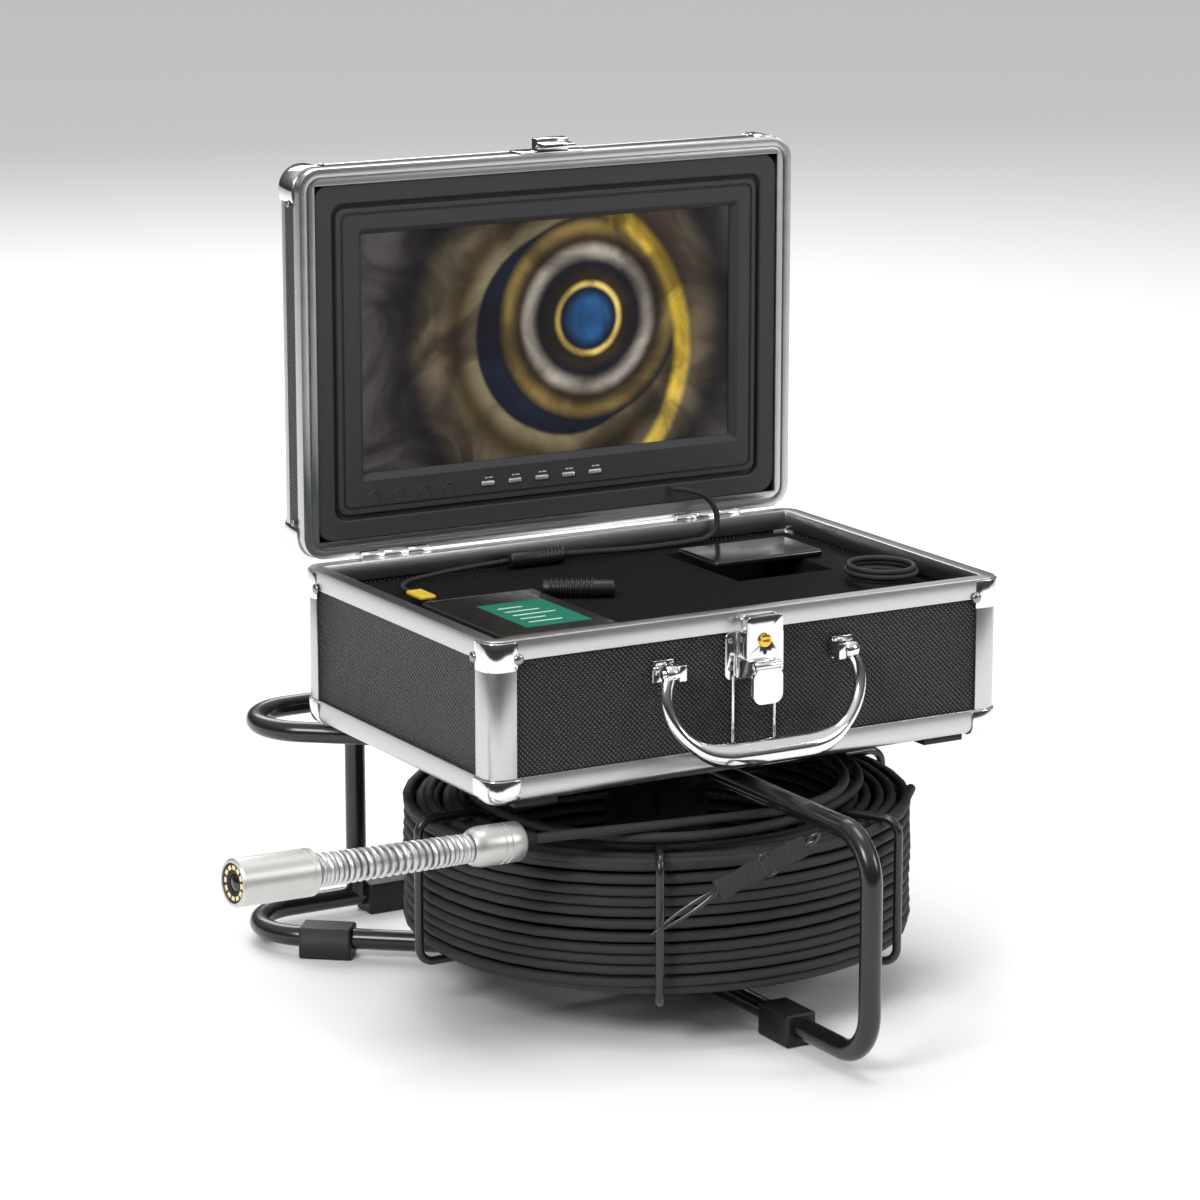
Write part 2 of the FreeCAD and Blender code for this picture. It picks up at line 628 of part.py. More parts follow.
corner_posts = []
caps = []
rim_brackets = []
for x_name, x_sign in (("Left", -1), ("Right", 1)):
    for y_name, y_sign in (("Front", -1), ("Back", 1)):
        name = x_name + y_name
        x_out, x_in = OUT, minus(OUT, "corner_leg")
        xs = (x_in, x_out) if x_sign > 0 else ("-(%s)" % x_out, "-(%s)" % x_in)
        y_far, y_near = (OUT_BACK, minus(OUT_BACK, "corner_leg")) if y_sign > 0 else (
            OUT_FRONT, plus(OUT_FRONT, "corner_leg"))
        ys = (y_near, y_far) if y_sign > 0 else (y_far, y_near)
        stock = block(name + "PostStock", xs, ys, (plus(BASE, "edge_height"), minus(RIM, "rim_height")))
        envelope = block(name + "Envelope", ("-(%s)" % OUT, OUT), (OUT_FRONT, OUT_BACK), (BASE, RIM))
        envelope_round = rounded(name + "EnvelopeRound", envelope, "corner_round", "z")
        common = doc.addObject("Part::Common", name + "PostBlank")
        common.Base = stock
        common.Tool = envelope_round
        room = block(name + "Room", ("-(%s)" % IN, IN), (IN_FRONT, IN_BACK), (BASE, RIM))
        corner_posts.append(cut(name + "Post", common, room, *panels))
        x_cap, x_cap_in = plus(OUT, "ball_skin"), minus(OUT, "ball_size")
        cap_xs = (x_cap_in, x_cap) if x_sign > 0 else ("-(%s)" % x_cap, "-(%s)" % x_cap_in)
        y_cap, y_cap_in = (plus(OUT_BACK, "ball_skin"), minus(OUT_BACK, "ball_size")) if y_sign > 0 else (
            minus(OUT_FRONT, "ball_skin"), plus(OUT_FRONT, "ball_size"))
        cap_ys = (y_cap_in, y_cap) if y_sign > 0 else (y_cap, y_cap_in)
        cap_block = block(name + "CapBlock", cap_xs, cap_ys, (minus(BASE, "ball_skin"), RIM))
        cap_part = doc.addObject("Part::Common", name + "CapPart")
        cap_part.Base = cap_outside
        cap_part.Tool = cap_block
        caps.append(cut(name + "Cap", cap_part, cap_inside))
        y_plate, y_plate_in = (plus(OUT_BACK, "bracket_skin"), minus(OUT_BACK, "bracket_size")) if y_sign > 0 else (
            minus(OUT_FRONT, "bracket_skin"), plus(OUT_FRONT, "bracket_size"))
        plate_ys = (y_plate_in, y_plate) if y_sign > 0 else (y_plate, y_plate_in)
        x_plate, x_plate_in = plus(OUT, "bracket_skin"), minus(OUT, "bracket_size")
        plate_xs = (x_plate_in, x_plate) if x_sign > 0 else ("-(%s)" % x_plate, "-(%s)" % x_plate_in)
        plate = block(name + "Plate", plate_xs, plate_ys, (minus(RIM, "rim_height + 5"), minus(RIM, "1")))
        plate_round = rounded(name + "PlateRound", plate, "corner_round", "z")
        inside = rounded(name + "PlateInside", block(
            name + "PlateRoom", ("-(%s)" % OUT, OUT), (OUT_FRONT, OUT_BACK), (BASE, RIM)), "corner_round", "z")
        rim_brackets.append(cut(name + "Bracket", plate_round, inside))
node("case_corner_posts", group("CornerPosts", *corner_posts))
node("case_ball_corners", group("BallCorners", *caps))
node("case_rim_brackets", group("RimBrackets", *rim_brackets))

pads = []
for x_sign in ("-", ""):
    for term, y_sign in ((FRONT, 1), (BACK, -1)):
        middle = plus(term, "%d * foot_pad_inset" % y_sign)
        pads.append(block(
            "Pad%d" % (len(pads) + 1),
            (plus(x_sign + "foot_pad_offset", "-foot_pad_width / 2"), plus(x_sign + "foot_pad_offset", "foot_pad_width / 2")),
            (minus(middle, "foot_pad_depth / 2"), plus(middle, "foot_pad_depth / 2")),
            (minus(BASE, "foot_pad_height"), BASE)))
node("case_feet", group("CaseFeet", *pads))

# What lies in the case, placed from the case's front panel and floor
BATTERY = (("-122", "-57"), ("31", "120"), ("42", "75"))
STORE = (("54", "112"), ("100", "176"), ("16", "80"))


def in_case(name, spans, extra="0"):
    """A block in the case, from spans measured off its middle, front panel and underside."""
    xs, ys, zs = spans
    return block(
        name, (minus(xs[0], extra), plus(xs[1], extra)),
        (plus(FRONT, "%s - %s" % (ys[0], extra)), plus(FRONT, "%s + %s" % (ys[1], extra))),
        (plus(BASE, "%s - %s" % (zs[0], extra)), plus(BASE, "%s + %s" % (zs[1], extra))))


foam_block = block(
    "FoamBlock", ("-(%s) + profile_skin + foam_gap" % INNER, "%s - profile_skin - foam_gap" % INNER),
    (plus(IN_FRONT, "foam_gap"), minus(IN_BACK, "foam_gap")), (plus(BASE, "floor_wall"), plus(BASE, "foam_top")))
foam_cuts = [in_case("BatteryPocket", BATTERY, "pocket_clearance"), in_case("StorePocket", STORE)]
node("foam_insert", cut("Foam", foam_block, *foam_cuts))
node("battery_pack", rounded("Battery", in_case("BatteryBlock", BATTERY), "2.5", "z"))

base_z = value(BASE)
case_front = value(FRONT)


def at(x, y, z):
    """A point measured off the case's middle, front panel and underside."""
    return vector(x, case_front + y, base_z + z)


def bar_between(start, end, radius):
    """A round bar from one point to another."""
    run = end - start
    return Part.makeCylinder(radius, run.Length, start, run)


joiner_low = at(-37, 183, 75)
joiner_high = at(-4, 183, 75)
JOINER_RADIUS = 4.5
joiner = bar_between(joiner_low, joiner_high, JOINER_RADIUS)
node("lead_joiner", shaped("LeadJoiner", joiner))
LEAD_RADIUS = 1.5
WIRE_LEAD_RADIUS = 1.2
lead_points = [at(-4, 183, 75), at(14, 184, 74), at(44, 186.5, 72), at(70, 187, 72), at(84, 187, 72.5)]
node("monitor_lead", shaped("MonitorLead", sweep(route(lead_points)[0], LEAD_RADIUS)))
riser_points = [
    at(84, 187, 72.5), at(93, 187.3, 74), at(95, 188, 85), at(90, 190, 95),
    at(79, 193, 99.5), at(73, 200.2, 99.5),
]
node("monitor_lead_riser", shaped("LeadRiser", sweep(route(riser_points)[0], LEAD_RADIUS)))
battery_points = [at(-112, 120, 72.5), at(-113, 142, 73), at(-110, 165, 72.5), at(-98, 179, 72),
                  at(-66, 184, 73.5), at(-37, 183, 75)]
node("battery_lead", shaped("BatteryLead", sweep(route(battery_points)[0], WIRE_LEAD_RADIUS)))
PLUG_RADIUS = 4.6
node("charge_plug", shaped("ChargePlug", bar_between(at(-53, 118, 74.8), at(-21, 99, 74.8), PLUG_RADIUS)))
SHADE_WIDTH, SHADE_DEPTH, SHADE_WALL, SHADE_EDGE = 67, 40, 4, 1.8
shade_block = Part.makeBox(SHADE_WIDTH, SHADE_DEPTH, SHADE_WALL, at(57, 128, 70.2))
node("sun_shade", shaped("SunShade", shade_block.makeFillet(SHADE_EDGE, shade_block.Edges)))

# ---------------------------------------------------------------- latch, key and handle
LATCH_IN = minus(FRONT, "latch_plate_wall")
BODY_OUT = minus(LATCH_IN, "latch_body_depth")


def latch_spans(width):
    """The span of a piece that is centred on the latch."""
    return minus("latch_middle", "%s / 2" % width), plus("latch_middle", "%s / 2" % width)


plate_low_z = plus(BASE, "latch_plate_low")
rim_clear_z = minus(RIM, "rim_height")
latch_plate = block("LatchPlateLow", latch_spans("latch_plate_width"), (LATCH_IN, FRONT), (plate_low_z, rim_clear_z))
node("latch_plate", rounded("LatchPlate", latch_plate, "plate_round", "y"))
body_high = plus(BASE, "latch_plate_high")
latch_body_stock = block("LatchBodyStock", latch_spans("latch_body_width"), (BODY_OUT, LATCH_IN),
                         (plus(BASE, "latch_body_low"), body_high))
key_start = ("latch_middle", minus(BODY_OUT, "key_stand_out"), plus(BASE, "key_height"))
key_hole = rod("KeyHole", "key_radius + key_clearance", "y", key_start, "latch_body_depth / 2 + key_stand_out")
rim_tool = block("RimTool", ("-(%s)" % SIDE, SIDE), (OUT_FRONT, FRONT), (rim_clear_z, RIM))
# The shut lid stands over the case, so a depth behind the hinge axis becomes a height over the rim.
SHUT_TONGUE = minus(HINGE_Y, "lid_lift + lid_height + hasp_wall + tongue_offset + tongue_wall")
tongue_room = block(
    "TongueRoom", ("-(tab_width / 2 + tongue_gap)", "tab_width / 2 + tongue_gap"),
    (minus(SHUT_TONGUE, "tongue_gap"), plus(SHUT_TONGUE, "tongue_wall + tongue_gap")),
    (minus(HINGE_Z, "tongue_drop + tongue_gap"), HINGE_Z))
node("latch_body", cut("LatchBody", rounded("LatchBodyRound", latch_body_stock, "latch_round", "y"),
                       key_hole, rim_tool, tongue_room))
key_barrel = rod("KeyBarrel", "key_radius", "y", key_start, "latch_body_depth / 2 + 0.9 * key_stand_out")
slot = block("KeySlot", (minus("latch_middle", "key_slot_half"), plus("latch_middle", "key_slot_half")),
             (minus(BODY_OUT, "2 * key_stand_out"), plus(BODY_OUT, "key_slot_deep")),
             (plus(BASE, "key_height - key_slot_wide / 2"), plus(BASE, "key_height + key_slot_wide / 2")))
node("key_cylinder", cut("Key", key_barrel, slot))

LEVER_Y = minus(BODY_OUT, "lever_knuckle + lever_gap")
LEVER_Z = plus(BASE, "latch_body_low - lever_knuckle")
knuckle = rod("LeverKnuckle", "lever_knuckle", "x",
              (minus("latch_middle", "lever_width / 2 - 1"), LEVER_Y, LEVER_Z), "lever_width - 2")
paddle = block("LeverPaddle", latch_spans("lever_width"),
               (minus(LEVER_Y, "lever_wall / 2"), plus(LEVER_Y, "lever_wall / 2")),
               (plus(BASE, "lever_low"), minus(LEVER_Z, "lever_knuckle / 2")))
node("latch_lever", fuse("Lever", knuckle, rounded("LeverPaddleRound", paddle, "lever_round", "y")))

handle_y = value(minus(FRONT, "handle_pivot_out"))
handle_z = value(plus(BASE, "handle_pivot_height"))
half_span = value("handle_half_span")
pin = value("handle_pin_radius")
leg = value("handle_leg_radius")
eye_radius = leg + value("handle_eye_wall")
mount_width = value("mount_width")
mount_height = value("mount_height")
mount_wall = value("mount_wall")
lug_width = value("lug_width")
lug_height = value("lug_height")
lug_depth = value("handle_pivot_out + lug_front")
panel_y = value(FRONT)
mount_shapes = []
for sign in (-1, 1):
    plate = Part.makeBox(mount_width, mount_wall, mount_height, vector(
        sign * half_span - mount_width / 2, panel_y - mount_wall, handle_z - mount_height / 2))
    inner = sign * (half_span - leg - value("lug_gap"))
    lug = Part.makeBox(lug_width, lug_depth, lug_height, vector(
        min(inner, inner - sign * lug_width), panel_y - lug_depth, handle_z - lug_height / 2))
    pivot = Part.makeCylinder(pin, 2 * (leg + value("handle_eye_wall")), vector(inner, handle_y, handle_z), vector(sign, 0, 0))
    mount_shapes.append(plate.fuse([lug, pivot]).removeSplitter())
node("handle_mounts", shaped("HandleMounts", Part.makeCompound(mount_shapes)))
PIN_CLEARANCE = 0.1


def handle_bail():
    """The swinging handle: two legs that bow out, and a thicker grip between them."""
    drop = value("handle_drop")
    half_points = [(0, 0), (4, -16), (-3, -33), (-28, -drop)]
    left = [vector(-half_span - out, 0, rise) for out, rise in half_points]
    right = [vector(-point.x, 0, point.z) for point in reversed(left)]
    bail = sweep(route(left + right)[0], leg)
    grip_half = value("handle_grip_half")
    grip_radius = value("handle_grip_radius")
    grip = Part.makeCylinder(grip_radius, 2 * grip_half, vector(-grip_half, 0, -drop), vector(1, 0, 0))
    for sign in (-1, 1):
        end = vector(sign * grip_half, 0, -drop)
        taper = Part.makeCone(grip_radius, leg, value("handle_taper"), end, vector(sign, 0, 0))
        grip = grip.fuse(taper)
        eye = Part.makeCylinder(eye_radius, 2 * leg, vector(sign * half_span - leg, 0, 0), vector(1, 0, 0))
        bail = bail.fuse(eye)
    bail = bail.fuse(grip)
    for sign in (-1, 1):
        bore = Part.makeCylinder(pin + PIN_CLEARANCE, 4 * leg, vector(sign * half_span - 2 * leg, 0, 0), vector(1, 0, 0))
        bail = bail.cut(bore)
    bail.rotate(vector(0, 0, 0), vector(1, 0, 0), -value("handle_lean"))
    bail.translate(vector(0, handle_y, handle_z))
    return bail.removeSplitter()


node("handle_bail", shaped("HandleBail", handle_bail()))

# ---------------------------------------------------------------- hinges
lower_leaves = []
upper_leaves = []
pins = []
for name, sign in (("Left", "-"), ("Right", "")):
    middle = sign + "hinge_offset"
    half = "knuckle_length / 2"
    ends = (minus(middle, "hinge_length / 2"), plus(middle, "hinge_length / 2"))
    pins.append(rod(name + "Pin", "pin_radius", "x", (ends[0], HINGE_Y, HINGE_Z), "hinge_length"))
    bore = rod(name + "Bore", "pin_radius + pin_clearance", "x", (minus(ends[0], "1"), HINGE_Y, HINGE_Z),
               "hinge_length + 2")
    tight = rod(name + "Tight", "pin_radius", "x", (minus(ends[0], "1"), HINGE_Y, HINGE_Z), "hinge_length + 2")
    knuckle = rod(name + "MiddleKnuckle", "knuckle_radius", "x", (minus(middle, half), HINGE_Y, HINGE_Z),
                  "knuckle_length")
    leaf_y = (OUT_BACK, plus(OUT_BACK, "leaf_wall"))
    leaf = block(name + "LowerLeaf", ends, leaf_y, (minus(HINGE_Z, "leaf_length"), minus(HINGE_Z, "knuckle_radius + hinge_room")))
    tongue = block(name + "LowerTongue", (minus(middle, half), plus(middle, half)), leaf_y,
                   (minus(HINGE_Z, "leaf_length"), HINGE_Z))
    lower_leaves.append(cut(name + "Lower", fuse(name + "LowerBlank", knuckle, leaf, tongue), tight))
    outer_length = "(hinge_length - knuckle_length) / 2 - knuckle_gap"
    outer_a = rod(name + "OuterA", "knuckle_radius", "x", (ends[0], HINGE_Y, HINGE_Z), outer_length)
    outer_b = rod(name + "OuterB", "knuckle_radius", "x", (minus(ends[1], outer_length), HINGE_Y, HINGE_Z),
                  outer_length)
    leaf_z = (minus(LID_LOW, "leaf_wall"), LID_LOW)
    upper = block(name + "UpperLeaf", ends, (plus(HINGE_Y, "knuckle_radius + hinge_room"), plus(HINGE_Y, "upper_leaf_length")), leaf_z)
    web_a = block(name + "WebA", (ends[0], plus(ends[0], outer_length)), (HINGE_Y, plus(HINGE_Y, "upper_leaf_length")), leaf_z)
    web_b = block(name + "WebB", (minus(ends[1], outer_length), ends[1]), (HINGE_Y, plus(HINGE_Y, "upper_leaf_length")), leaf_z)
    upper_leaves.append(cut(name + "Upper", fuse(name + "UpperBlank", outer_a, outer_b, upper, web_a, web_b), bore))
node("hinge_lower_leaves", group("LowerLeaves", *lower_leaves))
node("hinge_upper_leaves", group("UpperLeaves", *upper_leaves))
node("hinge_pins", group("HingePins", *pins))

# ---------------------------------------------------------------- lid
RIM_BACK = plus(HINGE_Y, "lid_rim_depth")
EDGE_FRONT = minus(LID_BACK, "lid_edge_depth")


def lid_frame(name, ys, width):
    """A frame round the lid, as wide as told, between two planes."""
    body = block(name + "Body", ("-(%s)" % LID_SIDE, LID_SIDE), ys, (LID_LOW, LID_TOP))
    hole = block(
        name + "Hole", (plus("-(%s)" % LID_SIDE, width), minus(LID_SIDE, width)),
        (minus(ys[0], "1"), plus(ys[1], "1")), (plus(LID_LOW, width), minus(LID_TOP, width)))
    return rounded(name + "Round", body, "lid_corner_round", "y"), hole


lid_notches = [
    rod("LidNotch%d" % (number + 1), "knuckle_radius + hinge_room", "x", (start, HINGE_Y, HINGE_Z), length)
    for number, (start, length) in enumerate(HINGE_SPANS)
]
frame_body, frame_hole = lid_frame("LidRim", (HINGE_Y, RIM_BACK), "lid_rim_width")
groove_out = block("GrooveOut", ("-(%s) + lid_groove_start" % LID_SIDE, "%s - lid_groove_start" % LID_SIDE),
                   (minus(HINGE_Y, "1"), plus(HINGE_Y, "lid_groove_depth")),
                   (plus(LID_LOW, "lid_groove_start"), minus(LID_TOP, "lid_groove_start")))
groove_in = block("GrooveIn", ("-(%s) + lid_groove_end" % LID_SIDE, "%s - lid_groove_end" % LID_SIDE),
                  (minus(HINGE_Y, "1"), plus(HINGE_Y, "lid_groove_depth")),
                  (plus(LID_LOW, "lid_groove_end"), minus(LID_TOP, "lid_groove_end")))
groove = cut("Groove", rounded("GrooveOutRound", groove_out, "lid_corner_round - lid_groove_start", "y"),
             rounded("GrooveInRound", groove_in, "lid_corner_round - lid_groove_end", "y"))
node("lid_rim", cut("LidRim", frame_body, frame_hole, groove, *lid_notches))
wall_body, wall_hole = lid_frame("LidWalls", (RIM_BACK, EDGE_FRONT), "lid_wall")
node("lid_walls", cut("LidWalls", wall_body, wall_hole))
edge_frame, edge_hole = lid_frame("LidEdges", (EDGE_FRONT, LID_BACK), "lid_edge_width")
node("lid_back_edges", cut("LidEdges", edge_frame, edge_hole))
node("lid_back_panel", block(
    "LidPanel", ("-(%s) + lid_edge_width" % LID_SIDE, "%s - lid_edge_width" % LID_SIDE),
    (plus(EDGE_FRONT, "lid_panel_inset"), minus(LID_BACK, "lid_panel_inset")),
    (plus(LID_LOW, "lid_edge_width"), minus(LID_TOP, "lid_edge_width"))))

BEZEL_IN = plus(HINGE_Y, "bezel_recess")
BEZEL_BACK = plus(BEZEL_IN, "bezel_depth")
BEZEL_SIDE = minus(LID_SIDE, "lid_rim_width + monitor_gap")
BEZEL_LOW = plus(LID_LOW, "lid_rim_width + monitor_gap")
BEZEL_TOP = minus(LID_TOP, "lid_rim_width + monitor_gap")
SCREEN_Z = minus(LID_TOP, "screen_drop")
SCREEN_LOW = minus(SCREEN_Z, "screen_height / 2")
SCREEN_TOP = plus(SCREEN_Z, "screen_height / 2")
SCREEN_LEFT = minus("screen_middle", "screen_width / 2")
SCREEN_RIGHT = plus("screen_middle", "screen_width / 2")
bezel_block = rounded("BezelRound", block(
    "BezelBlock", ("-(%s)" % BEZEL_SIDE, BEZEL_SIDE), (BEZEL_IN, BEZEL_BACK), (BEZEL_LOW, BEZEL_TOP)),
    "lid_corner_round - lid_rim_width", "y")
window = block("Window", (SCREEN_LEFT, SCREEN_RIGHT), (minus(BEZEL_IN, "1"), plus(BEZEL_BACK, "1")),
               (SCREEN_LOW, SCREEN_TOP))
BUTTON_Z = plus(LID_LOW, "button_level")
button_names = ("button_record", "button_play", "button_menu", "button_photo", "button_zoom")
button_holes = []
for number, label in enumerate(button_names):
    middle = "button_start + %d * button_pitch" % number
    xs = (minus(middle, "button_width / 2"), plus(middle, "button_width / 2"))
    zs = (minus(BUTTON_Z, "button_height / 2"), plus(BUTTON_Z, "button_height / 2"))
    cap = block("Cap%d" % number, xs, (minus(BEZEL_IN, "button_rise"), plus(BEZEL_IN, "button_depth")), zs)
    node(label, rounded("CapRound%d" % number, cap, "button_edge", "y"))
    button_holes.append(block(
        "Hole%d" % number, (minus(xs[0], "button_clearance"), plus(xs[1], "button_clearance")),
        (minus(BEZEL_IN, "1"), plus(BEZEL_BACK, "1")),
        (minus(zs[0], "button_clearance"), plus(zs[1], "button_clearance"))))
node("monitor_frame", cut("MonitorFrame", bezel_block, window, *button_holes))
node("screen_glass", block(
    "ScreenGlass", (plus(SCREEN_LEFT, "screen_gap"), minus(SCREEN_RIGHT, "screen_gap")),
    (plus(BEZEL_IN, "screen_recess"), BEZEL_BACK), (plus(SCREEN_LOW, "screen_gap"), minus(SCREEN_TOP, "screen_gap"))))
node("monitor_back", block(
    "MonitorBack", ("-(%s) + monitor_back_inset" % BEZEL_SIDE, "%s - monitor_back_inset" % BEZEL_SIDE),
    (BEZEL_BACK, minus(EDGE_FRONT, "monitor_back_gap")),
    (plus(BEZEL_LOW, "monitor_back_inset"), minus(BEZEL_TOP, "monitor_back_inset"))))

PLATE_TOP = plus(LID_TOP, "hasp_wall")
TAB_XS = ("-tab_width / 2", "tab_width / 2")
hasp_plate = block("HaspPlate", ("-hasp_width / 2", "hasp_width / 2"), (HINGE_Y, plus(HINGE_Y, "hasp_depth")),
                   (LID_TOP, PLATE_TOP))
hasp_tab = block("HaspTab", TAB_XS, (HINGE_Y, plus(HINGE_Y, "tab_depth")), (PLATE_TOP, plus(PLATE_TOP, "tab_height")))
tongue = block("HaspTongue", TAB_XS, (minus(HINGE_Y, "tongue_drop"), HINGE_Y),
               (plus(PLATE_TOP, "tongue_offset"), plus(PLATE_TOP, "tongue_offset + tongue_wall")))
node("lid_hasp", fuse("Hasp", hasp_plate, hasp_tab, tongue))

corner_caps = []
for x_sign in (-1, 1):
    for z_term, z_sign in ((LID_LOW, -1), (LID_TOP, 1)):
        name = "LidCap%d" % (len(corner_caps) + 1)
        skin = "ball_skin" if z_sign > 0 else "ball_skin - 0.3"
        xs = (minus(LID_SIDE, "lid_cap_size"), plus(LID_SIDE, "ball_skin"))
        xs = xs if x_sign > 0 else tuple("-(%s)" % term for term in reversed(xs))
        zs = ((minus(z_term, "lid_cap_size"), plus(z_term, skin)) if z_sign > 0 else
              (minus(z_term, skin), plus(z_term, "lid_cap_size")))
        stock = rounded(name + "Round", block(name + "Stock", xs, (RIM_BACK, plus(LID_BACK, "ball_skin")), zs),
                        "lid_corner_round", "y")
        inside = rounded(name + "Inside", block(
            name + "Room", ("-(%s)" % LID_SIDE, LID_SIDE), (minus(RIM_BACK, "1"), LID_BACK), (LID_LOW, LID_TOP)),
            "lid_corner_round", "y")
        corner_caps.append(cut(name, stock, inside))
node("lid_corner_caps", group("LidCaps", *corner_caps))

# ---------------------------------------------------------------- free cable and camera head
# The loose turns lie on top of the cage, under the stand's upper tubes.
LOWER_TURN = 106.6
UPPER_TURN = 112.0


def on_reel(angle, radius, level):
    """A point round the hub axis."""
    turn = math.radians(angle)
    return vector(radius * math.cos(turn), hub_y + radius * math.sin(turn), level)


cable_points = [
    on_reel(75, 105, LOWER_TURN), on_reel(52, 106, LOWER_TURN), on_reel(26, 105, LOWER_TURN),
    on_reel(0, 106, LOWER_TURN), on_reel(-22, 105, LOWER_TURN), on_reel(-42, 106, LOWER_TURN),
    on_reel(-64, 107, LOWER_TURN), on_reel(-82, 110, LOWER_TURN), on_reel(-98, 115, LOWER_TURN),
    on_reel(-115, 120, LOWER_TURN), on_reel(-132, 122, LOWER_TURN), on_reel(-149, 117, LOWER_TURN),
    on_reel(-167, 109, LOWER_TURN), on_reel(172, 103, LOWER_TURN), on_reel(150, 98, LOWER_TURN),
    on_reel(126, 95, LOWER_TURN), on_reel(100, 93, LOWER_TURN), on_reel(74, 91, LOWER_TURN),
    on_reel(48, 88, 107.4), on_reel(24, 86, 109.6), on_reel(0, 86, 111.4), on_reel(-22, 91, UPPER_TURN),
    on_reel(-42, 99, UPPER_TURN), on_reel(-60, 106, UPPER_TURN), on_reel(-76, 110, UPPER_TURN),
    on_reel(-91, 108, UPPER_TURN),
    vector(-29.8, -89.4, UPPER_TURN), vector(-57.0, -85.6, UPPER_TURN),
    vector(-90.0, -79.6, 111.8), vector(-122.6, -76.2, 112.4),
]
cable_wire, cable_radii = route(cable_points)
cable_radius = value("cable_diameter / 2")
push_cable = sweep(cable_wire, cable_radius)
node("push_cable", shaped("PushCable", push_cable))
print("push cable length %.1f, arc radii %s" % (cable_wire.Length, [round(radius, 1) for radius in cable_radii]))
print("push cable volume / (section x length) %.4f"
      % (push_cable.Volume / (math.pi * cable_radius ** 2 * cable_wire.Length)))

head_start = cable_points[-1]
head_axis = vector(-0.9935, -0.0900, 0.0380).normalize()
head_turn = FreeCAD.Rotation(vector(0, 0, 1), head_axis)


def on_head(name, piece, distance):
    """Put a turned piece on the camera head's axis, so far from the end of the cable."""
    piece.Placement = FreeCAD.Placement(head_start + head_axis * distance, head_turn)
    return node(name, piece)


boot_end = value("boot_length")
collar_end = boot_end + value("collar_length")
spring_end = collar_end + value("spring_length")
on_head("cable_boot", turned("Boot", [
    ("0", "0"), ("cable_diameter / 2 + 0.6", "0"), ("boot_radius", "boot_length"), ("0", "boot_length"),
]), 0)
on_head("cable_collar", turned("Collar", [
    ("0", "0"), ("collar_radius - 1.2", "0"), ("collar_radius", "1.2"),
    ("collar_radius", "collar_length - 5"), ("collar_radius - 2.6", "collar_length"), ("0", "collar_length"),
]), boot_end)
on_head("flex_spring", turned("Spring", [
    ("0", "0"), ("spring_radius - 1.2", "0"), ("spring_radius", "spring_length"), ("0", "spring_length"),
]), collar_end)
on_head("camera_housing", turned("Housing", [
    ("0", "0"), ("head_radius - 1.2", "0"), ("head_radius", "1.2"),
    ("head_radius", "head_length - 0.8"), ("head_radius - 0.8", "head_length"),
    ("head_radius - 2", "head_length"), ("head_radius - 2", "head_length - face_depth"),
    ("0", "head_length - face_depth"),
]), spring_end)
on_head("lamp_ring", turned("LampRing", [
    ("lens_radius", "0"), ("head_radius - 2", "0"), ("head_radius - 2", "face_depth - 0.5"),
    ("lens_radius", "face_depth - 0.5"),
]), spring_end + value("head_length - face_depth"))
on_head("camera_lens", turned("Lens", [
    ("0", "0"), ("lens_radius", "0"), ("lens_radius", "face_depth - 0.8"), ("0", "face_depth - 0.2"),
]), spring_end + value("head_length - face_depth"))

# ---------------------------------------------------------------- strap
strap_low = vector(-48.9, -125.0, 87.5)
strap_high = vector(-10.0, -143.5, 110.0)
strap_run = strap_high - strap_low
band = Part.makeBox(strap_run.Length, 2.0, 12.0, vector(0, -1.0, -6.0))
band.Placement = FreeCAD.Placement(strap_low, FreeCAD.Rotation(vector(1, 0, 0), strap_run))
node("strap_webbing", shaped("StrapWebbing", band))
hook_end = vector(-78.5, -111.5, 66.0)
lower_hook = bar_between(strap_low, hook_end, 2.8)
hook_top = vector(-4.6, -147.0, 116.0)
upper_hook = bar_between(strap_high, hook_top, 2.0)
hooks = Part.makeCompound([lower_hook.cut(band), upper_hook.cut(band)])
node("strap_hooks", shaped("StrapHooks", hooks))

# ---------------------------------------------------------------- checks and files
doc.recompute()
for item in doc.Objects:
    if "Invalid" in item.State or "Error" in item.State:
        raise RuntimeError("%s did not compute" % item.Label)
for piece in nodes:
    if piece.Shape.isNull() or not piece.Shape.isValid() or not piece.Shape.Solids:
        raise RuntimeError("%s has no sound shape" % piece.Label)
for piece in nodes:
    piece.Shape.exportStep("parts/%s.step" % piece.Label)
print("%d sub-parts" % len(nodes))
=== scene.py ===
"""Pipe inspection camera: the looks of its stand, reel, cable, camera head, case and lid."""
import json
import logging
import math
from dataclasses import dataclass
from enum import Enum
from typing import Callable, Dict, List, Sequence, Tuple, Union

import bmesh
import bpy
from mathutils import Matrix, Quaternion, Vector


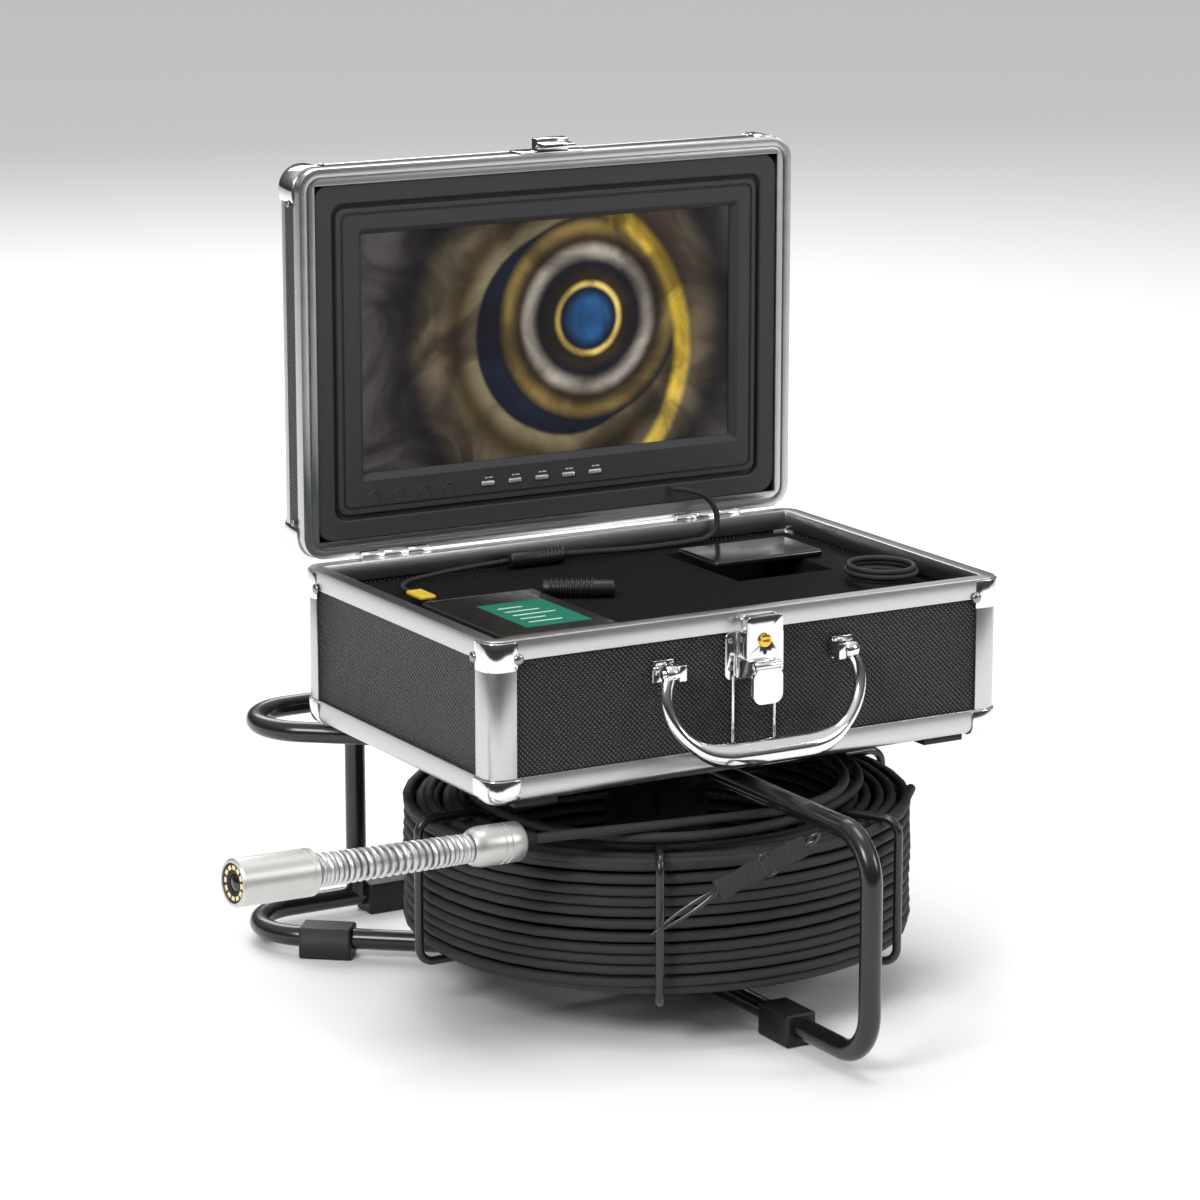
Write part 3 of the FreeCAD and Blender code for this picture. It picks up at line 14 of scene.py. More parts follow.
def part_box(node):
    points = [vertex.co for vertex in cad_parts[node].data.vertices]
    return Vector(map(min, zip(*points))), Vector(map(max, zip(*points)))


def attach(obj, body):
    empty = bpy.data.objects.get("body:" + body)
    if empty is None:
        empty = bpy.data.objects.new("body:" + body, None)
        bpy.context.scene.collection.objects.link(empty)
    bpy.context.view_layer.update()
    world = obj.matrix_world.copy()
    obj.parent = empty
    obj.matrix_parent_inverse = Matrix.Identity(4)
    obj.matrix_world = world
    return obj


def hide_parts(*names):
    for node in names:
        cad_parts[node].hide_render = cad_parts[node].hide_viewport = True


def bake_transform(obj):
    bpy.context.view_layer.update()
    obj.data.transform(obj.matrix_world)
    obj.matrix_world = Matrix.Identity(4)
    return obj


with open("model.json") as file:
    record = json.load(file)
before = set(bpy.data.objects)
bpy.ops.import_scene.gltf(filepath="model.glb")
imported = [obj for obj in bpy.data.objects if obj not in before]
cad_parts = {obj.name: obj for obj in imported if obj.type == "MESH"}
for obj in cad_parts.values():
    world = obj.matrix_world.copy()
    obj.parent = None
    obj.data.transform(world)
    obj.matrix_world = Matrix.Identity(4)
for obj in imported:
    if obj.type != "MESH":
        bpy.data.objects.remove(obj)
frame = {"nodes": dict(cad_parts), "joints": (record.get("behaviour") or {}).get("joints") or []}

log = logging.getLogger("inspection_camera")
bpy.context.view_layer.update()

Point = Tuple[float, float, float]
Color = Tuple[float, float, float]
Profile = Sequence[Tuple[float, float]]
Section = Callable[[float], Tuple[float, float]]
Socket = bpy.types.NodeSocket
Nodes = bpy.types.Nodes
Links = bpy.types.NodeLinks
Term = Union[Socket, float, None]

MM = 0.001
UP = Vector((0, 0, 1))
WELD = 0.002 * MM
FLAT_ANGLE = math.radians(0.4)
SHARP_ANGLE = math.radians(35)
UPRIGHT = 0.9
POINTED = 1e-6


class Pattern(Enum):
    """The small-scale relief of a finish."""

    SMOOTH = "smooth"
    GRAIN = "grain"
    BRUSHED = "brushed"
    DIAMOND = "diamond"
    WEAVE = "weave"


@dataclass(frozen=True)
class Finish:
    """One material: colour, gloss and relief.

    scale is the pattern's frequency per metre, depth its height in metres.
    """

    name: str
    color: Color
    metallic: float = 0.0
    roughness: float = 0.5
    pattern: Pattern = Pattern.GRAIN
    scale: float = 900.0
    depth: float = 0.00006
    variation: float = 0.12
    coat: float = 0.0
    stretch: Point = (1.0, 1.0, 1.0)
    specular: float = 0.5

    def material(self) -> bpy.types.Material:
        """The Blender material of this finish, made once."""
        found = bpy.data.materials.get(self.name)
        if found:
            return found
        made = bpy.data.materials.new(self.name)
        made.use_nodes = True
        nodes = made.node_tree.nodes
        links = made.node_tree.links
        shader = nodes["Principled BSDF"]
        shader.inputs["Metallic"].default_value = self.metallic
        shader.inputs["Coat Weight"].default_value = self.coat
        shader.inputs["Coat Roughness"].default_value = 0.12
        shader.inputs["Specular IOR Level"].default_value = self.specular
        place = nodes.new("ShaderNodeTexCoord")
        mapping = nodes.new("ShaderNodeMapping")
        mapping.inputs["Scale"].default_value = self.stretch
        links.new(place.outputs["Object"], mapping.inputs["Vector"])
        broad = nodes.new("ShaderNodeTexNoise")
        broad.inputs["Scale"].default_value = self.scale / 14
        broad.inputs["Detail"].default_value = 4
        links.new(mapping.outputs["Vector"], broad.inputs["Vector"])
        self._colour(nodes, links, shader, broad)
        self._roughness(nodes, links, shader, broad)
        if self.pattern is not Pattern.SMOOTH:
            height = self._height(nodes, links, mapping)
            if self.pattern is Pattern.DIAMOND:
                # Painted glint and painted shade: the diamond tops are painted up to nine times lighter than
                # the panel's colour, and the hollows darker.
                self._tint(nodes, links, shader, height, ((0.15, 0.15), (0.85, 9)))
            bump = nodes.new("ShaderNodeBump")
            bump.inputs["Strength"].default_value = 1.0
            bump.inputs["Distance"].default_value = self.depth
            links.new(height, bump.inputs["Height"])
            links.new(bump.outputs["Normal"], shader.inputs["Normal"])
        return made

    def _colour(self, nodes: Nodes, links: Links, shader: bpy.types.Node, broad: bpy.types.Node) -> None:
        """Vary the base colour a little over the surface.

        Args:
            nodes: The material's nodes.
            links: The material's links.
            shader: The shader that takes the colour.
            broad: The noise that varies it.
        """
        stops = ((0.3, 1 - self.variation), (0.7, 1 + self.variation))
        self._tint(nodes, links, shader, broad.outputs["Fac"], stops)

    def _tint(self, nodes: Nodes, links: Links, shader: bpy.types.Node, source: Socket, stops: Profile) -> None:
        """Colour the shader in shares of the finish's colour.

        Args:
            nodes: The material's nodes.
            links: The material's links.
            shader: The shader that takes the colour.
            source: The value that chooses the share.
            stops: Two pairs of a value and the share of the colour there.
        """
        ramp = nodes.new("ShaderNodeValToRGB")
        for element, (position, share) in zip(ramp.color_ramp.elements, stops):
            element.position = position
            element.color = (*[min(1.0, channel * share) for channel in self.color], 1)
        links.new(source, ramp.inputs["Fac"])
        links.new(ramp.outputs["Color"], shader.inputs["Base Color"])

    def _roughness(self, nodes: Nodes, links: Links, shader: bpy.types.Node, broad: bpy.types.Node) -> None:
        """Vary the roughness a little over the surface.

        Args:
            nodes: The material's nodes.
            links: The material's links.
            shader: The shader that takes the roughness.
            broad: The noise that varies it.
        """
        spread = nodes.new("ShaderNodeMapRange")
        spread.inputs["To Min"].default_value = max(0.02, self.roughness * 0.85)
        spread.inputs["To Max"].default_value = min(1.0, self.roughness * 1.15)
        links.new(broad.outputs["Fac"], spread.inputs["Value"])
        links.new(spread.outputs["Result"], shader.inputs["Roughness"])

    def _height(self, nodes: Nodes, links: Links, mapping: bpy.types.Node) -> Socket:
        """Make the relief.

        Args:
            nodes: The material's nodes.
            links: The material's links.
            mapping: The node that gives the place on the surface.

        Returns:
            The socket that carries the relief's height.
        """
        if self.pattern in (Pattern.GRAIN, Pattern.BRUSHED):
            noise = nodes.new("ShaderNodeTexNoise")
            noise.inputs["Scale"].default_value = self.scale
            noise.inputs["Detail"].default_value = 3
            links.new(mapping.outputs["Vector"], noise.inputs["Vector"])
            return noise.outputs["Fac"]
        return crossed_ridges(nodes, links, mapping, self.scale, self.pattern is Pattern.DIAMOND)


def crossed_ridges(nodes: Nodes, links: Links, mapping: bpy.types.Node, scale: float, slanted: bool) -> Socket:
    """Height of two crossing sets of ridges, along the face whichever way it stands.

    Args:
        nodes: The material's nodes.
        links: The material's links.
        mapping: The node that gives the place on the surface.
        scale: Ridges' phase per metre.
        slanted: Whether the ridges run at 45 degrees.

    Returns:
        The output socket of the height.
    """
    split = nodes.new("ShaderNodeSeparateXYZ")
    links.new(mapping.outputs["Vector"], split.inputs["Vector"])

    def math_node(kind: str, left: Term, right: Term) -> Socket:
        """Add a math node.

        Args:
            kind: Its operation.
            left: Its first socket or number.
            right: Its second socket or number, or None.

        Returns:
            The socket of its result.
        """
        made = nodes.new("ShaderNodeMath")
        made.operation = kind
        for slot, term in enumerate((left, right)):
            if isinstance(term, (int, float)):
                made.inputs[slot].default_value = term
            elif term is not None:
                links.new(term, made.inputs[slot])
        return made.outputs["Value"]

    along = math_node("ADD", split.outputs["X"], split.outputs["Y"])
    tilt = math_node("MULTIPLY", split.outputs["Y"], 0.4)
    upward = math_node("ADD", split.outputs["Z"], tilt)
    first = math_node("ADD", along, upward) if slanted else along
    second = math_node("SUBTRACT", along, upward) if slanted else upward
    waves = []
    for term in (first, second):
        phase = math_node("MULTIPLY", term, scale)
        wave = math_node("SINE", phase, None)
        waves.append(math_node("ABSOLUTE", wave, None))
    return math_node("MULTIPLY", waves[0], waves[1])


POWDER = Finish("black_powder_coat", (0.009, 0.009, 0.010), 0.0, 0.26, Pattern.GRAIN, 1600, 0.00002, coat=0.3)
CAGE = Finish("cage_wire_coat", (0.012, 0.012, 0.012), 0.0, 0.28, Pattern.GRAIN, 1500, 0.00002, coat=0.3)
RUBBER = Finish("foot_rubber", (0.007, 0.007, 0.007), 0.0, 0.55, Pattern.GRAIN, 1200, 0.00006)
JACKET = Finish("cable_jacket", (0.004, 0.004, 0.0045), 0.0, 0.26, Pattern.GRAIN, 700, 0.00003, coat=0.1,
                specular=0.4)
DRUM = Finish("drum_plastic", (0.008, 0.008, 0.0085), 0.0, 0.42, Pattern.GRAIN, 900, 0.00005)
NYLON = Finish("bush_nylon", (0.72, 0.71, 0.66), 0.0, 0.4, Pattern.GRAIN, 900, 0.00003)
STEEL = Finish("turned_steel", (0.62, 0.62, 0.62), 1.0, 0.25, Pattern.BRUSHED, 500, 0.00002,
               stretch=(1, 1, 8))
HEAD_STEEL = Finish("head_steel", (0.44, 0.42, 0.395), 1.0, 0.2, Pattern.BRUSHED, 700, 0.000012, 0.06,
                    stretch=(6, 1, 1))
SPRING_STEEL = Finish("spring_steel", (0.48, 0.46, 0.44), 1.0, 0.18, Pattern.BRUSHED, 700, 0.00001, 0.06)
ALUMINIUM = Finish("anodised_aluminium", (0.60, 0.60, 0.61), 1.0, 0.3, Pattern.BRUSHED, 1500, 0.000004, 0.03,
                   stretch=(0.06, 0.06, 1))
CHROME = Finish("chrome", (0.68, 0.68, 0.69), 1.0, 0.09, Pattern.GRAIN, 120, 0.00003, 0.03)
RIVET = Finish("rivet_steel", (0.34, 0.34, 0.35), 1.0, 0.3, Pattern.GRAIN, 300, 0.00002, 0.05)
BRASS = Finish("lock_brass", (0.85, 0.58, 0.10), 1.0, 0.22, Pattern.BRUSHED, 900, 0.00001, 0.08)
# The diamond panel has a painted glint on its ridge tops and painted shade in its hollows, tinted in
# Finish.material.
PANEL = Finish("diamond_panel", (0.011, 0.011, 0.012), 0.0, 0.3, Pattern.DIAMOND, 1180, 0.0012, 0.1,
               specular=0.35)
FOAM = Finish("cut_foam", (0.006, 0.006, 0.0065), 0.0, 0.9, Pattern.GRAIN, 1100, 0.00035, specular=0.15)
MONITOR = Finish("monitor_plastic", (0.006, 0.006, 0.007), 0.0, 0.36, Pattern.GRAIN, 2400, 0.00004, 0.05,
                 specular=0.3)
SILVER_CAP = Finish("button_silver", (0.72, 0.72, 0.72), 0.6, 0.3, Pattern.GRAIN, 900, 0.00002)
LAMP_FACE = Finish("lamp_face", (0.010, 0.010, 0.010), 0.0, 0.3, Pattern.GRAIN, 900, 0.00002)
LAMP = Finish("lamp_phosphor", (0.95, 0.80, 0.42), 0.0, 0.4, Pattern.GRAIN, 900, 0.00002, 0.05)
FILM = Finish("battery_film", (0.014, 0.014, 0.015), 0.0, 0.28, Pattern.GRAIN, 160, 0.0002, coat=0.3)
LABEL = Finish("green_label", (0.008, 0.19, 0.12), 0.0, 0.45, Pattern.GRAIN, 300, 0.00005, 0.1)
PRINT = Finish("label_print", (0.62, 0.75, 0.68), 0.0, 0.5, Pattern.GRAIN, 300, 0.00001, 0.1)
TAG = Finish("yellow_tag", (0.72, 0.50, 0.03), 0.0, 0.4, Pattern.GRAIN, 500, 0.00006)
WEBBING = Finish("strap_webbing", (0.026, 0.026, 0.028), 0.0, 0.6, Pattern.WEAVE, 4200, 0.0003)
GLOSS_BLACK = Finish("gloss_black", (0.010, 0.010, 0.011), 0.0, 0.16, Pattern.GRAIN, 200, 0.00003, coat=0.5)
ICON_GREY = Finish("moulded_icon", (0.05, 0.05, 0.052), 0.0, 0.5, Pattern.GRAIN, 900, 0.00003)


def at(x: float, y: float, z: float) -> Vector:
    """A point placed from the case's middle, front panel and underside.

    Args:
        x: Millimetres to the right of the middle.
        y: Millimetres behind the front panel.
        z: Millimetres above the underside.

    Returns:
        The point in metres, in the row's frame.
    """
    low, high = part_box("case_floor")
    panel_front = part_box("case_long_panels")[0].y
    return Vector(((low.x + high.x) / 2 + x * MM, panel_front + y * MM, low.z + z * MM))


def hub_axis() -> Vector:
    """The point where the hub axis meets the floor."""
    low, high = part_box("stand_axle")
    return Vector(((low.x + high.x) / 2, (low.y + high.y) / 2, 0))


def middle_height(node: str) -> float:
    """Height of the middle of a CAD node's box in metres."""
    low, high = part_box(node)
    return (low.z + high.z) / 2


def dress(node: str, finish: Finish) -> None:
    """Give a CAD node its finish as it is.

    Args:
        node: The CAD node.
        finish: Its finish.
    """
    mesh = frame["nodes"][node].data
    mesh.materials.clear()
    mesh.materials.append(finish.material())


def soften(node: str, finish: Finish, body: str, width: float = 0.35) -> bpy.types.Object:
    """Stand a copy with worn edges in for a CAD node.

    Args:
        node: The CAD node.
        finish: Its finish.
        body: The CAD body that it rides on.
        width: Width of the worn edges in millimetres.

    Returns:
        The new object.
    """
    bm = bmesh.new()
    bm.from_mesh(frame["nodes"][node].data)
    bmesh.ops.remove_doubles(bm, verts=bm.verts, dist=WELD)
    bmesh.ops.dissolve_limit(bm, angle_limit=FLAT_ANGLE, verts=bm.verts, edges=bm.edges)
    sharp = [edge for edge in bm.edges if len(edge.link_faces) == 2 and edge.calc_face_angle() > SHARP_ANGLE]
    bmesh.ops.bevel(bm, geom=sharp, offset=width * MM, segments=2, affect="EDGES", profile=0.5,
                    clamp_overlap=True)
    bmesh.ops.triangulate(bm, faces=[face for face in bm.faces if len(face.verts) > 4])
    return finished(node + "_skin", bm, finish, body, [node], 50)


def finished(name: str, bm: bmesh.types.BMesh, finish: Finish, body: str,
             replaced: Sequence[str] = (), smooth: float = 40.0) -> bpy.types.Object:
    """Turn a bmesh into a piece that rides on a body.

    Args:
        name: The piece's name.
        bm: The shape in metres, in the row's frame.
        finish: Its finish.
        body: The CAD body that it rides on.
        replaced: CAD nodes that it stands for.
        smooth: Edges flatter than this many degrees are shaded smooth.

    Returns:
        The new object.
    """
    mesh = bpy.data.meshes.new(name)
    bm.to_mesh(mesh)
    bm.free()
    return adopt(name, mesh, finish, body, replaced, smooth)


def adopt(name: str, mesh: bpy.types.Mesh, finish: Finish, body: str,
          replaced: Sequence[str] = (), smooth: float = 40.0) -> bpy.types.Object:
    """Turn a mesh into a piece that rides on a body.

    Args:
        name: The piece's name.
        mesh: The mesh in metres, in the row's frame.
        finish: Its finish.
        body: The CAD body that it rides on.
        replaced: CAD nodes that it stands for.
        smooth: Edges flatter than this many degrees are shaded smooth.

    Returns:
        The new object.
    """
    mesh.name = name
    mesh.materials.clear()
    mesh.materials.append(finish.material())
    for face in mesh.polygons:
        face.use_smooth = True
    mesh.set_sharp_from_angle(angle=math.radians(smooth))
    piece = bpy.data.objects.new(name, mesh)
    bpy.context.scene.collection.objects.link(piece)
    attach(piece, body)
    if replaced:
        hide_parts(*replaced)
    log.info("%s: %d faces on %s", name, len(mesh.polygons), body)
    return piece


def sweep(bm: bmesh.types.BMesh, path: Sequence[Vector], radius: Section,
          sides: int = 20, closed: bool = False, cap: bool = True) -> None:
    """Add a bar that follows a path.

    Args:
        bm: The mesh that it is added to.
        path: Points of the centre line.
        radius: Half width and half height at a share of the way along.
        sides: Faces round the bar.
        closed: Whether the path joins its start.
        cap: Whether open ends are closed.
    """
    count = len(path)
    tangents = []
    for number in range(count):
        before = path[number - 1] if number or closed else path[number]
        after = path[(number + 1) % count] if number < count - 1 or closed else path[number]
        tangents.append((after - before).normalized())
    side = tangents[0].orthogonal().normalized()
    if abs(tangents[0].z) < UPRIGHT:
        side = tangents[0].cross(UP).normalized()
    rings = []
    for number, point in enumerate(path):
        if number:
            turn = tangents[number - 1].rotation_difference(tangents[number])
            side = (turn @ side).normalized()
        rise = tangents[number].cross(side).normalized()
        wide, tall = radius(number / max(1, count - 1))
        ring = []
        for step in range(sides):
            angle = math.tau * step / sides
            ring.append(bm.verts.new(point + side * wide * math.cos(angle) + rise * tall * math.sin(angle)))
        rings.append(ring)
    last = count if closed else count - 1
    for number in range(last):
        near, far = rings[number], rings[(number + 1) % count]
        for step in range(sides):
            after = (step + 1) % sides
            bm.faces.new((near[step], near[after], far[after], far[step]))
    if cap and not closed:
        bm.faces.new(list(reversed(rings[0])))
        bm.faces.new(rings[-1])


def bent(points: Sequence[Vector], bend: float, steps: int = 10) -> List[Vector]:
    """Round the corners of a path of straight runs.

    Args:
        points: The path's ends and corners.
        bend: Radius of the arc at each corner, in the points' unit.
        steps: Steps along each arc.

    Returns:
        The points of the rounded path.
    """
    path = [points[0]]
    for before, corner, after in zip(points, points[1:], points[2:]):
        back = (before - corner).normalized()
        ahead = (after - corner).normalized()
        half = (math.pi - back.angle(ahead)) / 2
        centre = corner + (back + ahead).normalized() * (bend / math.cos(half))
        start = corner + back * bend * math.tan(half) - centre
        end = corner + ahead * bend * math.tan(half) - centre
        turn = start.rotation_difference(end)
        for step in range(steps + 1):
            path.append(centre + Quaternion().slerp(turn, step / steps) @ start)
    path.append(points[-1])
    return path


def round_bar(radius: float) -> Section:
    """The section of a bar with one radius, in metres."""
    return lambda share: (radius, radius)


def lathe(bm: bmesh.types.BMesh, origin: Vector, axis: Vector, profile: Profile, steps: int = 48) -> None:
    """Add a turned solid.

    Args:
        bm: The mesh that it is added to.
        origin: A point on the axis where the distance is 0.
        axis: The direction of the axis.
        profile: Pairs of distance and radius in millimetres, from one end to the other.
        steps: Faces round it.
    """
    side = axis.orthogonal().normalized()
    rise = axis.cross(side).normalized()
    rings = []
    for distance, radius in profile:
        centre = origin + axis * distance * MM
        if radius < POINTED:
            rings.append([bm.verts.new(centre)])
            continue
        rings.append([
            bm.verts.new(centre + (side * math.cos(math.tau * step / steps)
                                   + rise * math.sin(math.tau * step / steps)) * radius * MM)
            for step in range(steps)
        ])
    for near, far in zip(rings, rings[1:]):
        for step in range(steps):
            after = (step + 1) % steps
            if len(near) == 1:
                bm.faces.new((near[0], far[after], far[step]))
            elif len(far) == 1:
                bm.faces.new((near[step], near[after], far[0]))
            else:
                bm.faces.new((near[step], near[after], far[after], far[step]))
    for ring, forward in ((rings[0], False), (rings[-1], True)):
        if len(ring) > 1:
            bm.faces.new(ring if forward else list(reversed(ring)))


def soft_box(bm: bmesh.types.BMesh, low: Vector, high: Vector, bevel: float, segments: int = 3) -> None:
    """Add a box with rounded edges.

    Args:
        bm: The mesh that it is added to.
        low: Its lowest corner in metres.
        high: Its highest corner in metres.
        bevel: Radius of its edges in metres.
        segments: Steps across an edge.
    """
    centre = (low + high) / 2
    size = high - low
    place = Matrix.Translation(centre) @ Matrix.Diagonal((*size, 1))
    made = bmesh.ops.create_cube(bm, size=1, matrix=place)
    edges = list({edge for vert in made["verts"] for edge in vert.link_edges})
    bmesh.ops.bevel(bm, geom=edges, offset=bevel, segments=segments, affect="EDGES", profile=0.5)


class NodeTree:
    """A Geometry Nodes tree whose result becomes a plain mesh."""

    def __init__(self, name: str, sizes: Dict[str, float]) -> None:
        """Make the tree with one named input for each size.

        Args:
            name: The tree's name.
            sizes: Each input's name and value.
        """
        self.tree = bpy.data.node_groups.new(name, "GeometryNodeTree")
        self.sizes = sizes
        self.inputs = {}
        self.tree.interface.new_socket("Geometry", in_out="INPUT", socket_type="NodeSocketGeometry")
        for label, number in sizes.items():
            kind = "NodeSocketInt" if isinstance(number, int) else "NodeSocketFloat"
            self.inputs[label] = self.tree.interface.new_socket(label, in_out="INPUT", socket_type=kind)
        self.tree.interface.new_socket("Geometry", in_out="OUTPUT", socket_type="NodeSocketGeometry")
        self.source = self.tree.nodes.new("NodeGroupInput")
        self.result = self.tree.nodes.new("NodeGroupOutput")

    def add(self, kind: str, **values: object) -> bpy.types.Node:
        """Add a node and set or link its inputs.

        Args:
            kind: The node's type.
            **values: Sockets or values by input name, with underscores for spaces.

        Returns:
            The new node.
        """
        made = self.tree.nodes.new(kind)
        for label, term in values.items():
            socket = made.inputs[label.replace("_", " ")]
            if isinstance(term, bpy.types.NodeSocket):
                self.tree.links.new(term, socket)
            else:
                socket.default_value = term
        return made

    def end(self, geometry: Socket, finish: Finish) -> None:
        """Close the tree with Realize Instances and Set Material.

        Args:
            geometry: The socket of what the tree has made.
            finish: The finish that it is given.
        """
        real = self.add("GeometryNodeRealizeInstances", Geometry=geometry)
        painted = self.add("GeometryNodeSetMaterial", Geometry=real.outputs["Geometry"],
                           Material=finish.material())
        self.tree.links.new(painted.outputs["Geometry"], self.result.inputs["Geometry"])

    def mesh(self, base: bpy.types.Mesh, place: Matrix) -> bpy.types.Mesh:
        """Run the tree.

        Args:
            base: The mesh that it starts from.
            place: Where its result is moved to.

        Returns:
            The result as a plain mesh.
        """
        carrier = bpy.data.objects.new("carrier", base)
        bpy.context.scene.collection.objects.link(carrier)
        modifier = carrier.modifiers.new("nodes", "NODES")
        modifier.node_group = self.tree
        for label, socket in self.inputs.items():
            modifier[socket.identifier] = self.sizes[label]
        bpy.context.view_layer.update()
        graph = bpy.context.evaluated_depsgraph_get()
        made = bpy.data.meshes.new_from_object(carrier.evaluated_get(graph))
        bpy.data.objects.remove(carrier)
        made.transform(place)
        return made


def scattered(name: str, places: Sequence[Tuple[Vector, Vector]], radius: float,
              finish: Finish) -> bpy.types.Mesh:
    """Domed rivet heads, one at each place.

    Args:
        name: Name of the tree.
        places: Pairs of a point and the direction that its head faces.
        radius: Radius of a head in metres.
        finish: Their finish.

    Returns:
        One plain mesh of all the heads.
    """
    base = bpy.data.meshes.new(name + "_points")
    base.from_pydata([point for point, _ in places], [], [])
    facing = base.attributes.new("facing", "FLOAT_VECTOR", "POINT")
    for number, (_, direction) in enumerate(places):
        facing.data[number].vector = direction
    dome = 0.42
    tree = NodeTree(name, {"Radius": radius})
    ball = tree.add("GeometryNodeMeshUVSphere", Segments=16, Rings=8, Radius=tree.source.outputs["Radius"])
    flat = tree.add("GeometryNodeTransform", Geometry=ball.outputs["Mesh"], Scale=(1, 1, dome))
    named = tree.add("GeometryNodeInputNamedAttribute")
    named.data_type = "FLOAT_VECTOR"
    named.inputs["Name"].default_value = "facing"
    turn = tree.add("FunctionNodeAlignRotationToVector", Vector=named.outputs["Attribute"])
    turn.axis = "Z"
    heads = tree.add("GeometryNodeInstanceOnPoints", Points=tree.source.outputs["Geometry"],
                     Instance=flat.outputs["Geometry"], Rotation=turn.outputs["Rotation"])
    tree.end(heads.outputs["Instances"], finish)
    return tree.mesh(base, Matrix.Identity(4))


def stacked_rings(name: str, count: int, pitch: float, radius: float, wire: float,
                  finish: Finish, place: Matrix) -> bpy.types.Mesh:
    """Equal rings in a row, such as the ribs of a strain relief.

    Args:
        name: Name of the tree.
        count: Number of rings.
        pitch: Distance from one ring to the next in metres.
        radius: Radius of a ring's centre line in metres.
        wire: Radius of its section in metres.
        finish: Their finish.
        place: Where the row starts, with Z along it.

    Returns:
        One plain mesh of all the rings.
    """
    tree = NodeTree(name, {"Count": count, "Pitch": pitch, "Radius": radius, "Wire": wire})
    ports = tree.source.outputs
    ring = tree.add("GeometryNodeCurvePrimitiveCircle", Resolution=28, Radius=ports["Radius"])
    section = tree.add("GeometryNodeCurvePrimitiveCircle", Resolution=10, Radius=ports["Wire"])
    solid = tree.add("GeometryNodeCurveToMesh", Curve=ring.outputs["Curve"],
                     Profile_Curve=section.outputs["Curve"])
    step = tree.add("ShaderNodeCombineXYZ", Z=ports["Pitch"])
    row = tree.add("GeometryNodeMeshLine", Count=ports["Count"], Offset=step.outputs["Vector"])
    rings = tree.add("GeometryNodeInstanceOnPoints", Points=row.outputs["Mesh"],
                     Instance=solid.outputs["Mesh"])
    tree.end(rings.outputs["Instances"], finish)
    return tree.mesh(bpy.data.meshes.new(name + "_base"), place)


def rounded_rectangle(x_low: float, x_high: float, z_low: float, z_high: float, corner: float,
                      steps: int) -> List[Tuple[float, float]]:
    """Points round a rectangle with round corners, anticlockwise.

    Args:
        x_low: Its left side in metres.
        x_high: Its right side in metres.
        z_low: Its underside in metres.
        z_high: Its top in metres.
        corner: Radius of its corners in metres.
        steps: Steps along each corner.

    Returns:
        Pairs of x and z in metres.
    """
    corners = ((x_high - corner, z_low + corner, -90), (x_high - corner, z_high - corner, 0),
               (x_low + corner, z_high - corner, 90), (x_low + corner, z_low + corner, 180))
    points = []
    for x, z, start in corners:
        for step in range(steps + 1):
            angle = math.radians(start + 90 * step / steps)
            points.append((x + corner * math.cos(angle), z + corner * math.sin(angle)))
    return points


def facing(origin: Vector, direction: Vector) -> Matrix:
    """The matrix that puts Z along a direction at a point."""
    return Matrix.Translation(origin) @ direction.to_track_quat("Z", "Y").to_matrix().to_4x4()


@dataclass
class Stand:
    """The bent-tube stand with its hubs, posts and rubber feet. Sizes in millimetres."""

    tube: float = 11.0
    bend: float = 30.0
    bow_bend: float = 24.0
    front_reach: float = 201.0
    back_reach: float = 170.5
    half_width: float = 158.0
    hub_radius: float = 22.0
    hub_overlap: float = 1.0

    def build(self) -> None:
        """Make every piece of the stand."""
        upper = middle_height("stand_upper_loop")
        lower = middle_height("stand_lower_loop")
        self.back_loop("upper", upper)
        self.back_loop("lower", lower)
        self.front_bow(upper, lower)
        dress("stand_back_posts", POWDER)
        soften("stand_hubs", POWDER, "stand", 1.2)
        dress("stand_axle", STEEL)
        soften("stand_feet", RUBBER, "stand", 0.8)

    def back_loop(self, name: str, level: float) -> None:
        """One loop: out from the hub, round two corners and back.

        Args:
            name: Which loop it is, upper or lower.
            level: Height of its centre line in metres.
        """
        hub = hub_axis()
        centre_x = self.half_width - self.bend
        centre_y = self.back_reach - self.bend
        reach = math.hypot(centre_x, centre_y)
        heading = math.atan2(centre_y, centre_x) - math.asin(self.bend / reach)
        corner = self.back_reach / math.tan(heading)
        near = self.hub_radius - self.hub_overlap
        points = [hub + Vector((x * MM, y * MM, level)) for x, y in (
            (-near * math.cos(heading), near * math.sin(heading)), (-corner, self.back_reach),
            (corner, self.back_reach), (near * math.cos(heading), near * math.sin(heading)))]
        bm = bmesh.new()
        sweep(bm, bent(points, self.bend * MM, 20), round_bar(self.tube / 2 * MM), 24)
        finished(name + "_loop_tube", bm, POWDER, "stand", ["stand_%s_loop" % name])

    def front_bow(self, upper: float, lower: float) -> None:
        """The tube that runs forward, down the front post and back.

        Args:
            upper: Height of its upper run in metres.
            lower: Height of its lower run in metres.
        """
        near = -(self.hub_radius - self.hub_overlap) * MM
        reach = -self.front_reach * MM
        points = [hub_axis() + Vector((0, y, z)) for y, z in (
            (near, upper), (reach, upper), (reach, lower), (near, lower))]
        bm = bmesh.new()
        sweep(bm, bent(points, self.bow_bend * MM, 16), round_bar(self.tube / 2 * MM), 24)
        finished("front_bow_tube", bm, POWDER, "stand", ["stand_front_bow"])


